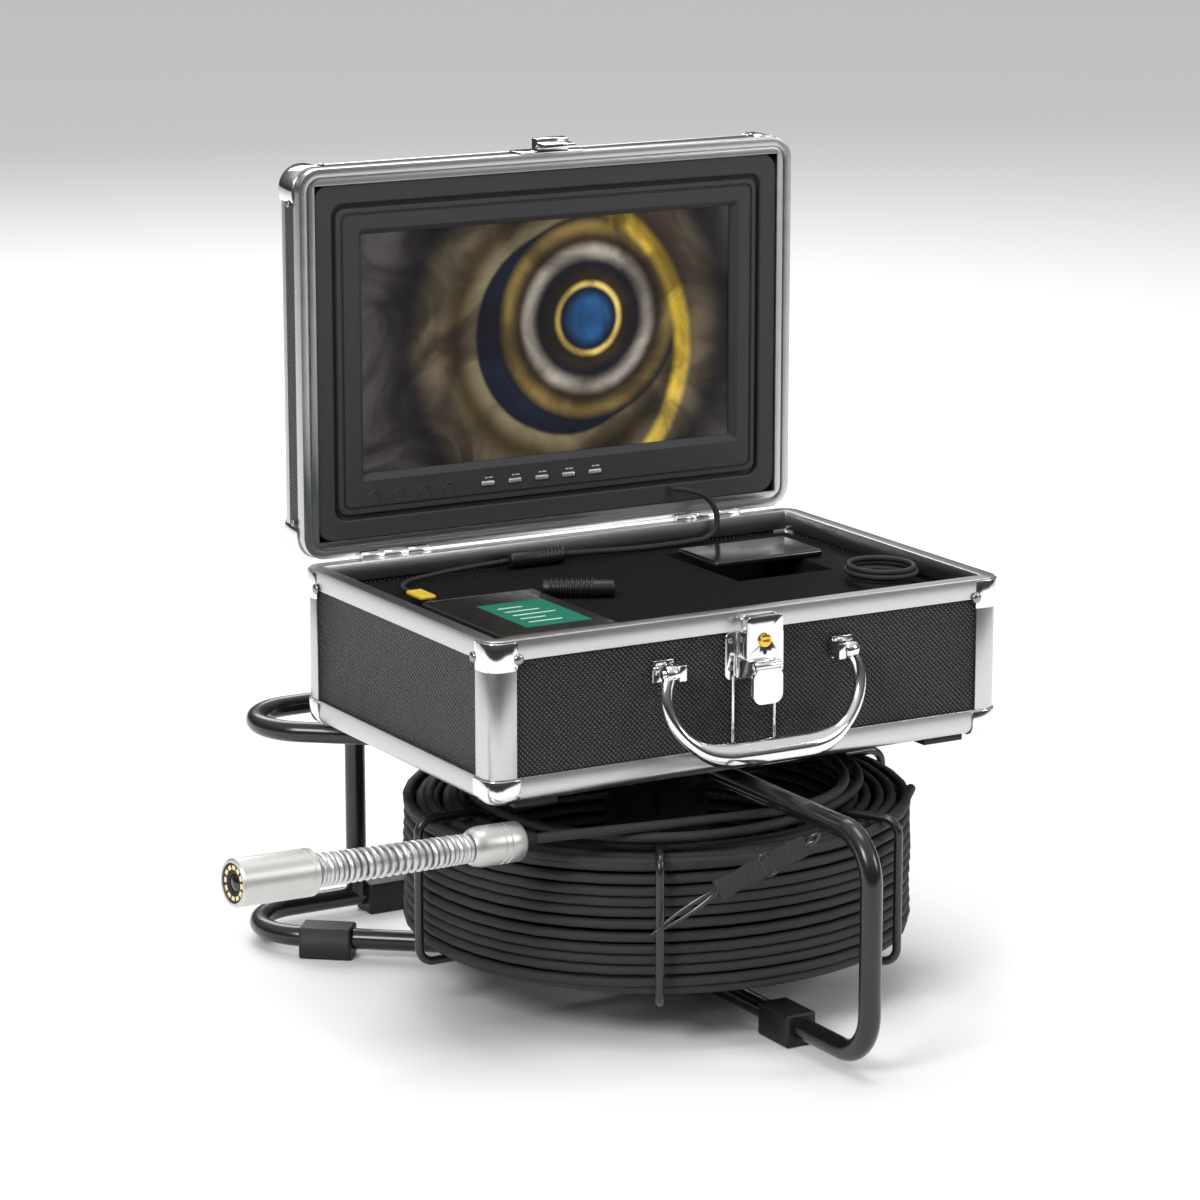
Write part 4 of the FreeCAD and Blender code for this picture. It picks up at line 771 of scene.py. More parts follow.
@dataclass
class Reel:
    """The drum, its wire cage and the wound push cable. Sizes in millimetres."""

    cable: float = 5.2
    rows: int = 12
    layers: int = 5
    points_per_turn: int = 14
    wire: float = 2.25
    wires: int = 6
    cage_radius: float = 139.0
    cage_bend: float = 8.0
    drum_radius: float = 28.0
    drum_overlap: float = 2.0
    open_radius: float = 102.0
    row_sway: float = 0.16
    slow_sway: float = 0.1
    slack: float = 0.7

    def build(self) -> None:
        """Make every piece of the reel."""
        dress("reel_bushes", NYLON)
        self.drum()
        self.cage()
        self.winding()

    def drum(self) -> None:
        """The drum with a lip at each end."""
        low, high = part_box("reel_drum")
        tall = (high.z - low.z) / MM
        bm = bmesh.new()
        profile = [(0, 7.6), (0, 26.5), (1.2, 28), (5, 28), (6, 26.2), (tall - 6, 26.2), (tall - 5, 28),
                   (tall - 1.2, 28), (tall, 26.5), (tall, 7.6)]
        lathe(bm, hub_axis() + Vector((0, 0, low.z)), UP, profile, 64)
        finished("reel_drum_body", bm, DRUM, "reel", ["reel_drum"])

    def cage(self) -> None:
        """Six bent wires round the winding."""
        low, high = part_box("cage_wires")
        top = high.z - self.wire * MM
        bottom = low.z + self.wire * MM
        inside = self.drum_radius - self.drum_overlap
        bm = bmesh.new()
        for number in range(self.wires):
            angle = math.tau * number / self.wires
            out = Vector((math.cos(angle), math.sin(angle), 0))
            points = [hub_axis() + out * reach * MM + Vector((0, 0, level)) for reach, level in (
                (inside, top), (self.cage_radius, top), (self.cage_radius, bottom), (inside, bottom))]
            sweep(bm, bent(points, self.cage_bend * MM, 8), round_bar(self.wire * MM), 12)
        finished("cage_wire_set", bm, CAGE, "reel", ["cage_wires"])

    def winding(self) -> None:
        """The push cable on the cage, wound in layers from the inside out."""
        low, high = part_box("cable_winding")
        first = low.z + self.cable / 2 * MM
        last = high.z - self.cable / 2 * MM
        outer = (high.x - low.x) / 2 / MM - self.cable / 2
        inner = self.open_radius + self.cable / 2
        hub = hub_axis()
        pitch = (last - first) / (self.rows - 1)
        points: List[Vector] = []
        turns = self.rows * self.layers
        for number in range(turns * self.points_per_turn):
            turn = number / self.points_per_turn
            layer = min(int(turn // self.rows), self.layers - 1)
            within = turn - layer * self.rows
            climb = min(within, self.rows - 1.0)
            settle = max(0.0, within - (self.rows - 1))
            rising = layer % 2 == 0
            row = climb if rising else self.rows - 1 - climb
            grow = (outer - inner) / (self.layers - 1)
            radius = inner + grow * (layer + settle * (layer < self.layers - 1))
            ease = row + self.row_sway * math.sin(3 * math.tau * turn) + self.slow_sway * math.sin(1.3 * turn)
            level = min(max(first + pitch * ease, first), last)
            radius -= self.slack * (0.5 + 0.5 * math.sin(2.17 * turn * math.tau + layer))
            angle = math.tau * turn
            across, back = radius * math.cos(angle) * MM, radius * math.sin(angle) * MM
            points.append(hub + Vector((across, back, level)))
        made = cord_curve("wound_cable", points, self.cable, 3, 3)
        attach(made, "reel")
        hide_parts("cable_winding")
        length = spline_length(made)
        log.info("wound cable %.2f m", length)


def cord_curve(name: str, points: Sequence[Vector], diameter: float, resolution: int,
               bevel: int) -> bpy.types.Object:
    """A cable as one smooth NURBS curve.

    Args:
        name: The object's name.
        points: Its control points in metres.
        diameter: The cable's diameter in millimetres.
        resolution: Steps between two points.
        bevel: Bevel resolution of the round section.

    Returns:
        The curve object, dressed in the jacket.
    """
    curve = bpy.data.curves.new(name, "CURVE")
    curve.dimensions = "3D"
    spline = curve.splines.new("NURBS")
    spline.points.add(len(points) - 1)
    for place, point in zip(spline.points, points):
        place.co = (*point, 1)
    spline.order_u = 3
    spline.use_endpoint_u = True
    curve.resolution_u = resolution
    curve.bevel_depth = diameter / 2 * MM
    curve.bevel_resolution = bevel
    curve.use_fill_caps = True
    curve.materials.append(JACKET.material())
    made = bpy.data.objects.new(name, curve)
    bpy.context.scene.collection.objects.link(made)
    return made


def spline_points(curve_object: bpy.types.Object) -> List[Vector]:
    """Read points along a curve's own smooth line.

    Args:
        curve_object: The curve.

    Returns:
        The points in metres.
    """
    bare = curve_object.data.copy()
    bare.bevel_depth = 0
    carrier = bpy.data.objects.new("bare_line", bare)
    bpy.context.scene.collection.objects.link(carrier)
    bpy.context.view_layer.update()
    graph = bpy.context.evaluated_depsgraph_get()
    mesh = bpy.data.meshes.new_from_object(carrier.evaluated_get(graph))
    points = [vert.co.copy() for vert in mesh.vertices]
    bpy.data.objects.remove(carrier)
    return points


def spline_length(curve_object: bpy.types.Object) -> float:
    """Length of a curve's smooth line in metres."""
    points = spline_points(curve_object)
    return sum((after - before).length for before, after in zip(points, points[1:]))


@dataclass
class CameraHead:
    """The free cable and the camera head on its end. Sizes in millimetres."""

    cable: float = 5.2
    lower_turn: float = 106.6
    upper_turn: float = 112.0
    boot: float = 10.0
    collar: float = 29.0
    spring: float = 88.0
    head: float = 42.5
    head_radius: float = 11.5
    ring_inset: float = 2.9
    lens_inset: float = 2.8
    lamps: int = 12
    lamp_inset: float = 0.75
    lamp_circle: float = 7.35
    lamp_length: float = 2.5
    lamp_width: float = 1.9
    lamp_height: float = 0.5
    spring_wire: float = 1.15
    spring_turns: int = 27
    turn_steps: int = 22
    spring_start: float = 6.15
    spring_spread: float = 1.2
    spring_ease: float = 0.055
    cable_end: Point = (-122.6, -76.2, 112.4)
    heading: Point = (-0.9935, -0.0900, 0.0380)

    @property
    def tip(self) -> Vector:
        """Where the cable enters the boot, in metres."""
        return Vector(self.cable_end) * MM

    @property
    def axis(self) -> Vector:
        """The direction that the head points in."""
        return Vector(self.heading).normalized()

    @property
    def front(self) -> float:
        """Distance from the boot's start to the head's front."""
        return self.boot + self.collar + self.spring + self.head

    def route(self) -> List[Vector]:
        """Lay the cable's line.

        Returns:
            Its control points in metres, from the winding through the boot, collar and spring.
        """
        hub = hub_axis()
        low, high = self.lower_turn, self.upper_turn
        round_hub = [
            (75, 105, low), (52, 106, low), (26, 105, low), (0, 106, low), (-22, 105, low), (-42, 106, low),
            (-64, 107, low), (-82, 110, low), (-98, 115, low), (-115, 120, low), (-132, 122, low),
            (-149, 117, low), (-167, 109, low), (172, 103, low), (150, 98, low), (126, 95, low),
            (100, 93, low), (74, 91, low), (48, 88, 107.4), (24, 86, 109.6), (0, 86, 111.4),
            (-22, 91, high), (-42, 99, high), (-60, 106, high), (-76, 110, high), (-91, 108, high),
        ]
        points = []
        for degrees, radius, level in round_hub:
            angle = math.radians(degrees)
            points.append(hub + Vector((radius * math.cos(angle), radius * math.sin(angle), level)) * MM)
        points += [Vector(place) * MM for place in (
            (-29.8, -89.4, high), (-57.0, -85.6, high), (-90.0, -79.6, 111.8), self.cable_end)]
        inside = self.boot + self.collar + self.spring
        return points + [self.tip + self.axis * inside * share * MM for share in (0.25, 0.5, 0.75, 1.0)]

    def build(self) -> None:
        """Make the cable, its boot, collar and spring, and the camera."""
        points = self.route()
        cable = cord_curve("push_cable_line", points, self.cable, 12, 4)
        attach(cable, "stand")
        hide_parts("push_cable")
        pieces = [self.boot_piece(), self.collar_piece(), self.spring_piece(), self.housing(),
                  self.lamp_ring(), self.lamp_diodes(), self.lens()]
        spline_length(cable)

    def turned(self, name: str, start: float, profile: Profile, finish: Finish,
               replaced: Sequence[str]) -> bpy.types.Object:
        """Make a turned piece on the head's axis.

        Args:
            name: The piece's name.
            start: Millimetres from the boot's start.
            profile: Pairs of distance and radius in millimetres.
            finish: Its finish.
            replaced: CAD nodes that it stands for.

        Returns:
            The new object.
        """
        bm = bmesh.new()
        lathe(bm, self.tip + self.axis * start * MM, self.axis, profile, 56)
        return finished(name, bm, finish, "stand", replaced)

    def boot_piece(self) -> bpy.types.Object:
        """The rubber boot that tapers to the cable."""
        profile = [(0, 2.7), (0.4, 3.1), (4, 4.3), (8, 6.0), (10, 6.9)]
        return self.turned("cable_boot_taper", 0, profile, RUBBER, ["cable_boot"])

    def collar_piece(self) -> bpy.types.Object:
        """The collar with two fine grooves and a rounded shoulder."""
        profile = [(0, 6.9), (0, 8.6), (1.4, 9.8), (9, 10), (9.3, 9.5), (9.9, 9.5), (10.2, 10), (12.5, 10),
                   (12.8, 9.5), (13.4, 9.5), (13.7, 10), (23, 10), (26, 9.4), (28, 8.4), (29, 7.6)]
        return self.turned("collar_turning", self.boot, profile, HEAD_STEEL, ["cable_collar"])

    def spring_piece(self) -> bpy.types.Object:
        """The flexible spring: close coils at its ends and open ones in the middle, over a core of the same
        steel.
        """
        start = self.boot + self.collar
        origin = self.tip + self.axis * start * MM
        side = self.axis.orthogonal().normalized()
        rise = self.axis.cross(side).normalized()
        wire = self.spring_wire
        turns = self.spring_turns
        steps = self.turn_steps
        path = []
        for number in range(turns * steps + 1):
            share = number / (turns * steps)
            opened = share - self.spring_ease * math.sin(math.tau * share)
            radius = self.spring_start + self.spring_spread * share
            angle = math.tau * number / steps
            along = self.axis * (wire + (self.spring - 2 * wire) * opened) * MM
            path.append(origin + along + (side * math.cos(angle) + rise * math.sin(angle)) * radius * MM)
        bm = bmesh.new()
        sweep(bm, path, round_bar(wire * MM), 8)
        lathe(bm, origin, self.axis, [(0, 4.4), (0, 5.2), (self.spring, 5.9), (self.spring, 4.4)], 24)
        return finished("flex_spring_coil", bm, SPRING_STEEL, "stand", ["flex_spring"])

    def housing(self) -> bpy.types.Object:
        """The camera's housing with a shoulder, a fine ring and an open front."""
        start = self.boot + self.collar + self.spring
        end = self.head
        radius = self.head_radius
        profile = [(0, 6), (0, radius - 1.4), (1.2, radius), (3.6, radius), (3.9, radius - 0.4),
                   (4.5, radius - 0.4), (4.8, radius), (end - 0.9, radius), (end, radius - 0.8),
                   (end, radius - 1.9), (end - 2.6, radius - 2.1), (end - 2.8, 0)]
        return self.turned("camera_body", start, profile, HEAD_STEEL, ["camera_housing"])

    def lamp_ring(self) -> bpy.types.Object:
        """The dark face round the lens."""
        start = self.front - self.ring_inset
        profile = [(0, 4.3), (0, 9.4), (2.0, 9.4), (2.2, 9.1), (2.2, 5.2), (1.6, 4.3), (0, 4.3)]
        return self.turned("lamp_ring_face", start, profile, LAMP_FACE, ["lamp_ring"])

    def lens(self) -> bpy.types.Object:
        """The domed lens with a dark stop behind it."""
        start = self.front - self.lens_inset
        profile = [(0, 4.1), (1.2, 4.1), (1.7, 3.5), (1.75, 3.2), (2.1, 2.6), (2.5, 1.4), (2.6, 0)]
        return self.turned("lens_dome", start, profile, GLOSS_BLACK, ["camera_lens"])

    def lamp_diodes(self) -> bpy.types.Object:
        """Twelve small warm lamps in a ring."""
        start = self.front - self.lamp_inset
        tree = NodeTree("lamp_circle", {"Count": self.lamps, "Ring": self.lamp_circle * MM,
                                        "Long": self.lamp_length * MM, "Wide": self.lamp_width * MM})
        ports = tree.source.outputs
        circle = tree.add("GeometryNodeMeshCircle", Vertices=ports["Count"], Radius=ports["Ring"])
        size = tree.add("ShaderNodeCombineXYZ", X=ports["Wide"], Y=ports["Long"], Z=self.lamp_height * MM)
        chip = tree.add("GeometryNodeMeshCube", Size=size.outputs["Vector"])
        spot = tree.add("GeometryNodeInputPosition")
        turn = tree.add("FunctionNodeAlignRotationToVector", Vector=spot.outputs["Position"])
        turn.axis = "X"
        chips = tree.add("GeometryNodeInstanceOnPoints", Points=circle.outputs["Mesh"],
                         Instance=chip.outputs["Mesh"], Rotation=turn.outputs["Rotation"])
        tree.end(chips.outputs["Instances"], LAMP)
        place = facing(self.tip + self.axis * start * MM, self.axis)
        mesh = tree.mesh(bpy.data.meshes.new("lamp_base"), place)
        return adopt("lamp_diodes", mesh, LAMP, "stand")


@dataclass
class Strap:
    """The webbing with its two hooks. Sizes in millimetres."""

    lower_end: Point = (-48.9, -125.0, 87.5)
    upper_end: Point = (-10.0, -143.5, 110.0)
    lower_hook_tip: Point = (-78.5, -111.5, 66.0)
    upper_hook_tip: Point = (-4.6, -147.0, 116.0)
    lower_hook_width: float = 2.5
    upper_hook_width: float = 1.8
    buckle_share: float = 0.56
    buckle_length: float = 2.2
    buckle_width: float = 5.6
    thickness: float = 0.42
    width: float = 5.0
    waist: float = 0.35
    layers: Tuple[Tuple[float, float], ...] = ((-0.45, 1.0), (0.5, 0.86))

    def build(self) -> None:
        """Make the webbing and the hooks."""
        low, high = Vector(self.lower_end), Vector(self.upper_end)
        self.band(low, high)
        bm = bmesh.new()
        self.hook(bm, low, Vector(self.lower_hook_tip), self.lower_hook_width)
        self.hook(bm, high, Vector(self.upper_hook_tip), self.upper_hook_width)
        self.buckle(bm, low + (high - low) * self.buckle_share, (high - low).normalized())
        finished("strap_hook_pair", bm, GLOSS_BLACK, "stand", ["strap_hooks"])

    def band(self, low: Vector, high: Vector) -> None:
        """Two layers of webbing with a slight waist between their stitches.

        Args:
            low: Its lower end in millimetres.
            high: Its upper end in millimetres.
        """

        def section(share: float) -> Tuple[float, float]:
            """Half thickness and half width of the webbing along its length."""
            return self.thickness * MM, (self.width + self.waist * math.cos(14 * share)) * MM

        bm = bmesh.new()
        steps = 40
        run = high - low
        for offset, reach in self.layers:
            path = [(low + run * reach * step / steps + Vector((0, offset, 0))) * MM
                    for step in range(steps + 1)]
            sweep(bm, path, section, 16)
        finished("strap_band", bm, WEBBING, "stand", ["strap_webbing"])

    def hook(self, bm: bmesh.types.BMesh, root: Vector, end: Vector, reach: float) -> None:
        """Add a flat hook: two bars that bow apart and close at their end.

        Args:
            bm: The mesh that it is added to.
            root: Where it leaves the webbing, in millimetres.
            end: Its tip in millimetres.
            reach: How far its bars bow apart, in millimetres.
        """
        run = end - root
        along = run.normalized()
        across = (UP - along * along.z).normalized()
        for sign in (-1, 1):
            path = []
            for step in range(17):
                share = step / 16
                bow = math.sin(math.pi * min(1.0, share * 1.15)) ** 0.6 if share < 0.87 else 0.0
                path.append((root + run * share + across * sign * reach * 0.72 * bow) * MM)
            sweep(bm, path, lambda share: (0.9 * MM, (1.25 - 0.45 * share) * MM), 10)

    def buckle(self, bm: bmesh.types.BMesh, centre: Vector, along: Vector) -> None:
        """Add a rounded slide round the webbing.

        Args:
            bm: The mesh that it is added to.
            centre: Its middle in millimetres.
            along: The webbing's direction.
        """
        long, wide = self.buckle_length, self.buckle_width
        across = (UP - along * along.z).normalized()
        corners = [centre + along * forward + across * sideways for forward, sideways in (
            (-long, 0), (-long, wide), (long, wide), (long, -wide), (-long, -wide), (-long, -0.01))]
        sweep(bm, bent([corner * MM for corner in corners], 1.2 * MM, 5), round_bar(0.85 * MM), 10)


@dataclass
class Case:
    """The case, what lies in it, and its latch and handle. Sizes in millimetres."""

    rivet: float = 2.7
    rivet_drop: float = 8.6
    rivet_inset: float = 16.5
    plate_rivet: float = 1.5
    plate_bead: float = 0.8
    keyhole_drop: float = 6.2
    label_low: Point = (-103, 44, 74.9)
    label_high: Point = (-66, 96, 75.25)
    tag_low: Point = (-117.5, 128, 73.2)
    tag_high: Point = (-108.5, 145, 75.6)
    plug_start: Point = (-53, 118, 74.8)
    plug_end: Point = (-21, 99, 74.8)
    coil_middle: Point = (117, 62, 73.5)
    coil_radii: Point = (17.0, 19.5, 18.2)
    coil_lift: float = 2.6
    coil_lead: float = 1.4
    riser_lead: float = 3.0
    handle_half: float = 52.0
    handle_lean: float = -14.0
    handle_bar: float = 3.2
    grip_depth: float = 3.1
    grip_height: float = 3.6
    wire_left: float = -11.8
    wire_right: float = 12.4
    wire_top: float = 49.0
    wire_low: float = 12.0
    wire_radius: float = 0.8

    def build(self) -> None:
        """Dress the case's nodes and add its small pieces."""
        for node, finish in {
            "case_long_panels": PANEL, "case_end_panels": PANEL, "case_floor": PANEL, "monitor_lead": JACKET,
            "battery_lead": JACKET, "hinge_pins": STEEL,
        }.items():
            dress(node, finish)
        for node, finish, slot, width in (
            ("case_rim", ALUMINIUM, "profile", 0.9), ("case_bottom_edges", ALUMINIUM, "profile", 0.4),
            ("case_corner_posts", ALUMINIUM, "profile", 0.3), ("case_ball_corners", CHROME, "chrome", 0.3),
            ("case_rim_brackets", CHROME, "chrome", 0.3), ("case_feet", RUBBER, "rubber", 0.8),
            ("foam_insert", FOAM, "foam", 0.8), ("battery_pack", FILM, "battery", 1.6),
            ("lead_joiner", DRUM, "black_plastic", 1.2), ("charge_plug", DRUM, "black_plastic", 0.9),
            ("sun_shade", GLOSS_BLACK, "black_plastic", 0.3), ("latch_plate", CHROME, "chrome", 0.3),
            ("latch_body", CHROME, "chrome", 0.9), ("latch_lever", CHROME, "chrome", 0.5),
            ("hinge_lower_leaves", CHROME, "chrome", 0.2), ("handle_mounts", CHROME, "chrome", 0.3),
        ):
            soften(node, finish, "case" if node != "latch_lever" else "lever", width)
        soften("key_cylinder", BRASS, "key", 0.2)
        self.rivets()
        self.label()
        self.leads()
        self.riser()
        self.handle()
        self.latch_wire()
        self.latch_details()

    def latch_details(self) -> None:
        """The keyhole, the beads beside the latch, and the rivets on its base plate."""
        body_low, body_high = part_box("latch_body")
        plate_low, plate_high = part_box("latch_plate")
        middle = (body_low.x + body_high.x) / 2
        level = middle_height("key_cylinder") - self.keyhole_drop * MM
        bm = bmesh.new()
        lathe(bm, Vector((middle, body_low.y + 0.3 * MM, level)), Vector((0, -1, 0)),
              [(0, 1.1), (0.42, 1.1), (0.5, 0.9), (0.5, 0)], 20)
        finished("latch_keyhole", bm, GLOSS_BLACK, "case")
        bm = bmesh.new()
        for sign in (-1, 1):
            edge = middle + sign * (body_high.x - body_low.x) / 2
            path = [Vector((edge, body_low.y + depth * MM, plate_low.z + rise * MM)) for depth, rise in (
                (8.6, 24), (8.4, 12), (8.2, 5), (8.6, 1.5))]
            sweep(bm, smooth_path(path, 6), round_bar(self.plate_bead * MM), 10)
        finished("latch_plate_beads", bm, CHROME, "case")
        places = [(Vector((x, plate_low.y, z)), Vector((0, -1, 0)))
                  for x in (plate_low.x + 3.0 * MM, plate_high.x - 3.0 * MM)
                  for z in (plate_high.z - 4.5 * MM, plate_low.z + 6.0 * MM)]
        mesh = scattered("latch_rivets_tree", places, self.plate_rivet * MM, RIVET)
        adopt("latch_rivets", mesh, RIVET, "case")

    def rivets(self) -> None:
        """Rivets on the rim brackets, front, back and sides."""
        low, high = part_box("case_rim_brackets")
        level = high.z - self.rivet_drop * MM
        inset = self.rivet_inset * MM
        places = []
        for x in (low.x, high.x):
            for y in (low.y, high.y):
                x_in = x - math.copysign(inset, x)
                y_in = y + inset if y < 0 else y - inset
                places.append((Vector((x_in, y, level)), Vector((0, -1 if y < 0 else 1, 0))))
                places.append((Vector((x, y_in, level)), Vector((-1 if x < 0 else 1, 0, 0))))
        mesh = scattered("bracket_rivets_tree", places, self.rivet * MM, RIVET)
        adopt("bracket_rivets", mesh, RIVET, "case")

    def label(self) -> None:
        """The battery's green label with plain bars of print, and the yellow tag."""
        bm = bmesh.new()
        soft_box(bm, at(*self.label_low), at(*self.label_high), 0.1 * MM, 1)
        finished("battery_label", bm, LABEL, "case")
        bm = bmesh.new()
        for row in range(5):
            depth = 84 - row * 8
            soft_box(bm, at(-97, depth, 75.2), at(-97 + 14 + 5 * (row % 3), depth + 1.6, 75.35), 0.05 * MM, 1)
        finished("label_bars", bm, PRINT, "case")
        bm = bmesh.new()
        soft_box(bm, at(*self.tag_low), at(*self.tag_high), 1.1 * MM)
        finished("wire_tag", bm, TAG, "case")

    def leads(self) -> None:
        """Ribs on the joiner and plug, and the small coil of lead by the right wall."""
        joiner_low, joiner_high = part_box("lead_joiner")
        middle = (joiner_low + joiner_high) / 2
        ribs = stacked_rings("joiner_ribs_tree", 7, 2.2 * MM, 3.9 * MM, 0.9 * MM, DRUM,
                             facing(Vector((joiner_high.x - 15 * MM, middle.y, middle.z)), Vector((1, 0, 0))))
        adopt("joiner_ribs", ribs, DRUM, "case")
        start, end = at(*self.plug_start), at(*self.plug_end)
        ribs = stacked_rings("plug_ribs_tree", 9, 2.6 * MM, 4.3 * MM, 0.95 * MM, DRUM,
                             facing(start + (end - start) * 0.12, (end - start).normalized()))
        adopt("plug_ribs", ribs, DRUM, "case")
        bm = bmesh.new()
        centre = at(*self.coil_middle)
        steps = 48
        for turn, radius in enumerate(self.coil_radii):
            ring = [centre + Vector((math.cos(math.tau * step / steps) * radius * MM * 0.9,
                                     math.sin(math.tau * step / steps) * radius * MM,
                                     turn * self.coil_lift * MM))
                    for step in range(steps)]
            sweep(bm, ring, round_bar(self.coil_lead * MM), 10, closed=True)
        finished("spare_lead_coil", bm, JACKET, "case")

    def riser(self) -> None:
        """The monitor's lead where it rises from the foam to the lid and follows the hinge."""
        points = [at(*place) for place in (
            (84, 187, 72.5), (93, 187.3, 74), (95, 188, 85), (90, 190, 95), (79, 193, 99.5),
            (73, 200.2, 99.5))]
        line = cord_curve("riser_line", points, self.riser_lead, 10, 4)
        bpy.context.view_layer.update()
        mesh = bpy.data.meshes.new_from_object(line.evaluated_get(bpy.context.evaluated_depsgraph_get()))
        bpy.data.objects.remove(line)
        piece = bpy.data.objects.new("monitor_lead_bend", mesh)
        bpy.context.scene.collection.objects.link(piece)
        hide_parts("monitor_lead_riser")
        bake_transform(piece)

    def handle(self) -> None:
        """The bail handle: round legs that swell into a flat grip."""
        joint = next(item for item in frame["joints"] if item["name"] == "handle_swing")
        pivot = Vector(joint["pos_m"])
        half = self.handle_half
        lean = Matrix.Rotation(math.radians(self.handle_lean), 3, "X")
        outline = [(-half, 0), (-half - 3.4, -8), (-half - 4, -16), (-half - 1.2, -25), (-half + 5, -33.5),
                   (-half + 14, -40), (-half + 25, -43.4), (-half + 38, -44)]
        outline += [(-x, z) for x, z in reversed(outline)]
        control = [Vector((x, 0, z)) for x, z in outline]
        path = smooth_path(control, 10)
        bm = bmesh.new()

        def section(share: float) -> Tuple[float, float]:
            """Half depth and half height of the handle along its length."""
            swell = math.exp(-((share - 0.5) / 0.17) ** 4)
            return ((self.handle_bar + self.grip_depth * swell) * MM,
                    (self.handle_bar + self.grip_height * swell) * MM)

        sweep(bm, [pivot + lean @ point * MM for point in path], section, 28)
        eye_profile = [(0, 2.1), (0, 3.9), (0.5, 4.4), (6.3, 4.4), (6.8, 3.9), (6.8, 2.1)]
        for sign in (-1, 1):
            eye = pivot + Vector((sign * half * MM - 3.4 * MM, 0, 0))
            lathe(bm, eye, Vector((1, 0, 0)), eye_profile, 32)
        finished("handle_grip", bm, CHROME, "handle", ["handle_bail"], 50)

    def latch_wire(self) -> None:
        """The thin wire loop that hangs below the latch."""
        bm = bmesh.new()
        points = [at(x, -1.0, z) for x, z in (
            (self.wire_left, self.wire_top), (self.wire_left, self.wire_low),
            (self.wire_right, self.wire_low), (self.wire_right, self.wire_top))]
        sweep(bm, bent(points, 3 * MM, 6), round_bar(self.wire_radius * MM), 10)
        finished("latch_wire_loop", bm, CHROME, "case")


def smooth_path(points: Sequence[Vector], steps: int) -> List[Vector]:
    """Draw a Catmull-Rom line through points.

    Args:
        points: The points that it passes through.
        steps: Steps between two of them.

    Returns:
        The points of the line.
    """
    padded = [points[0] * 2 - points[1], *points, points[-1] * 2 - points[-2]]
    path = []
    for before, start, end, after in zip(padded, padded[1:], padded[2:], padded[3:]):
        for step in range(steps):
            share = step / steps
            path.append(0.5 * (2 * start + (end - before) * share
                               + (2 * before - 5 * start + 4 * end - after) * share ** 2
                               + (3 * start - before - 3 * end + after) * share ** 3))
    path.append(points[-1])
    return path


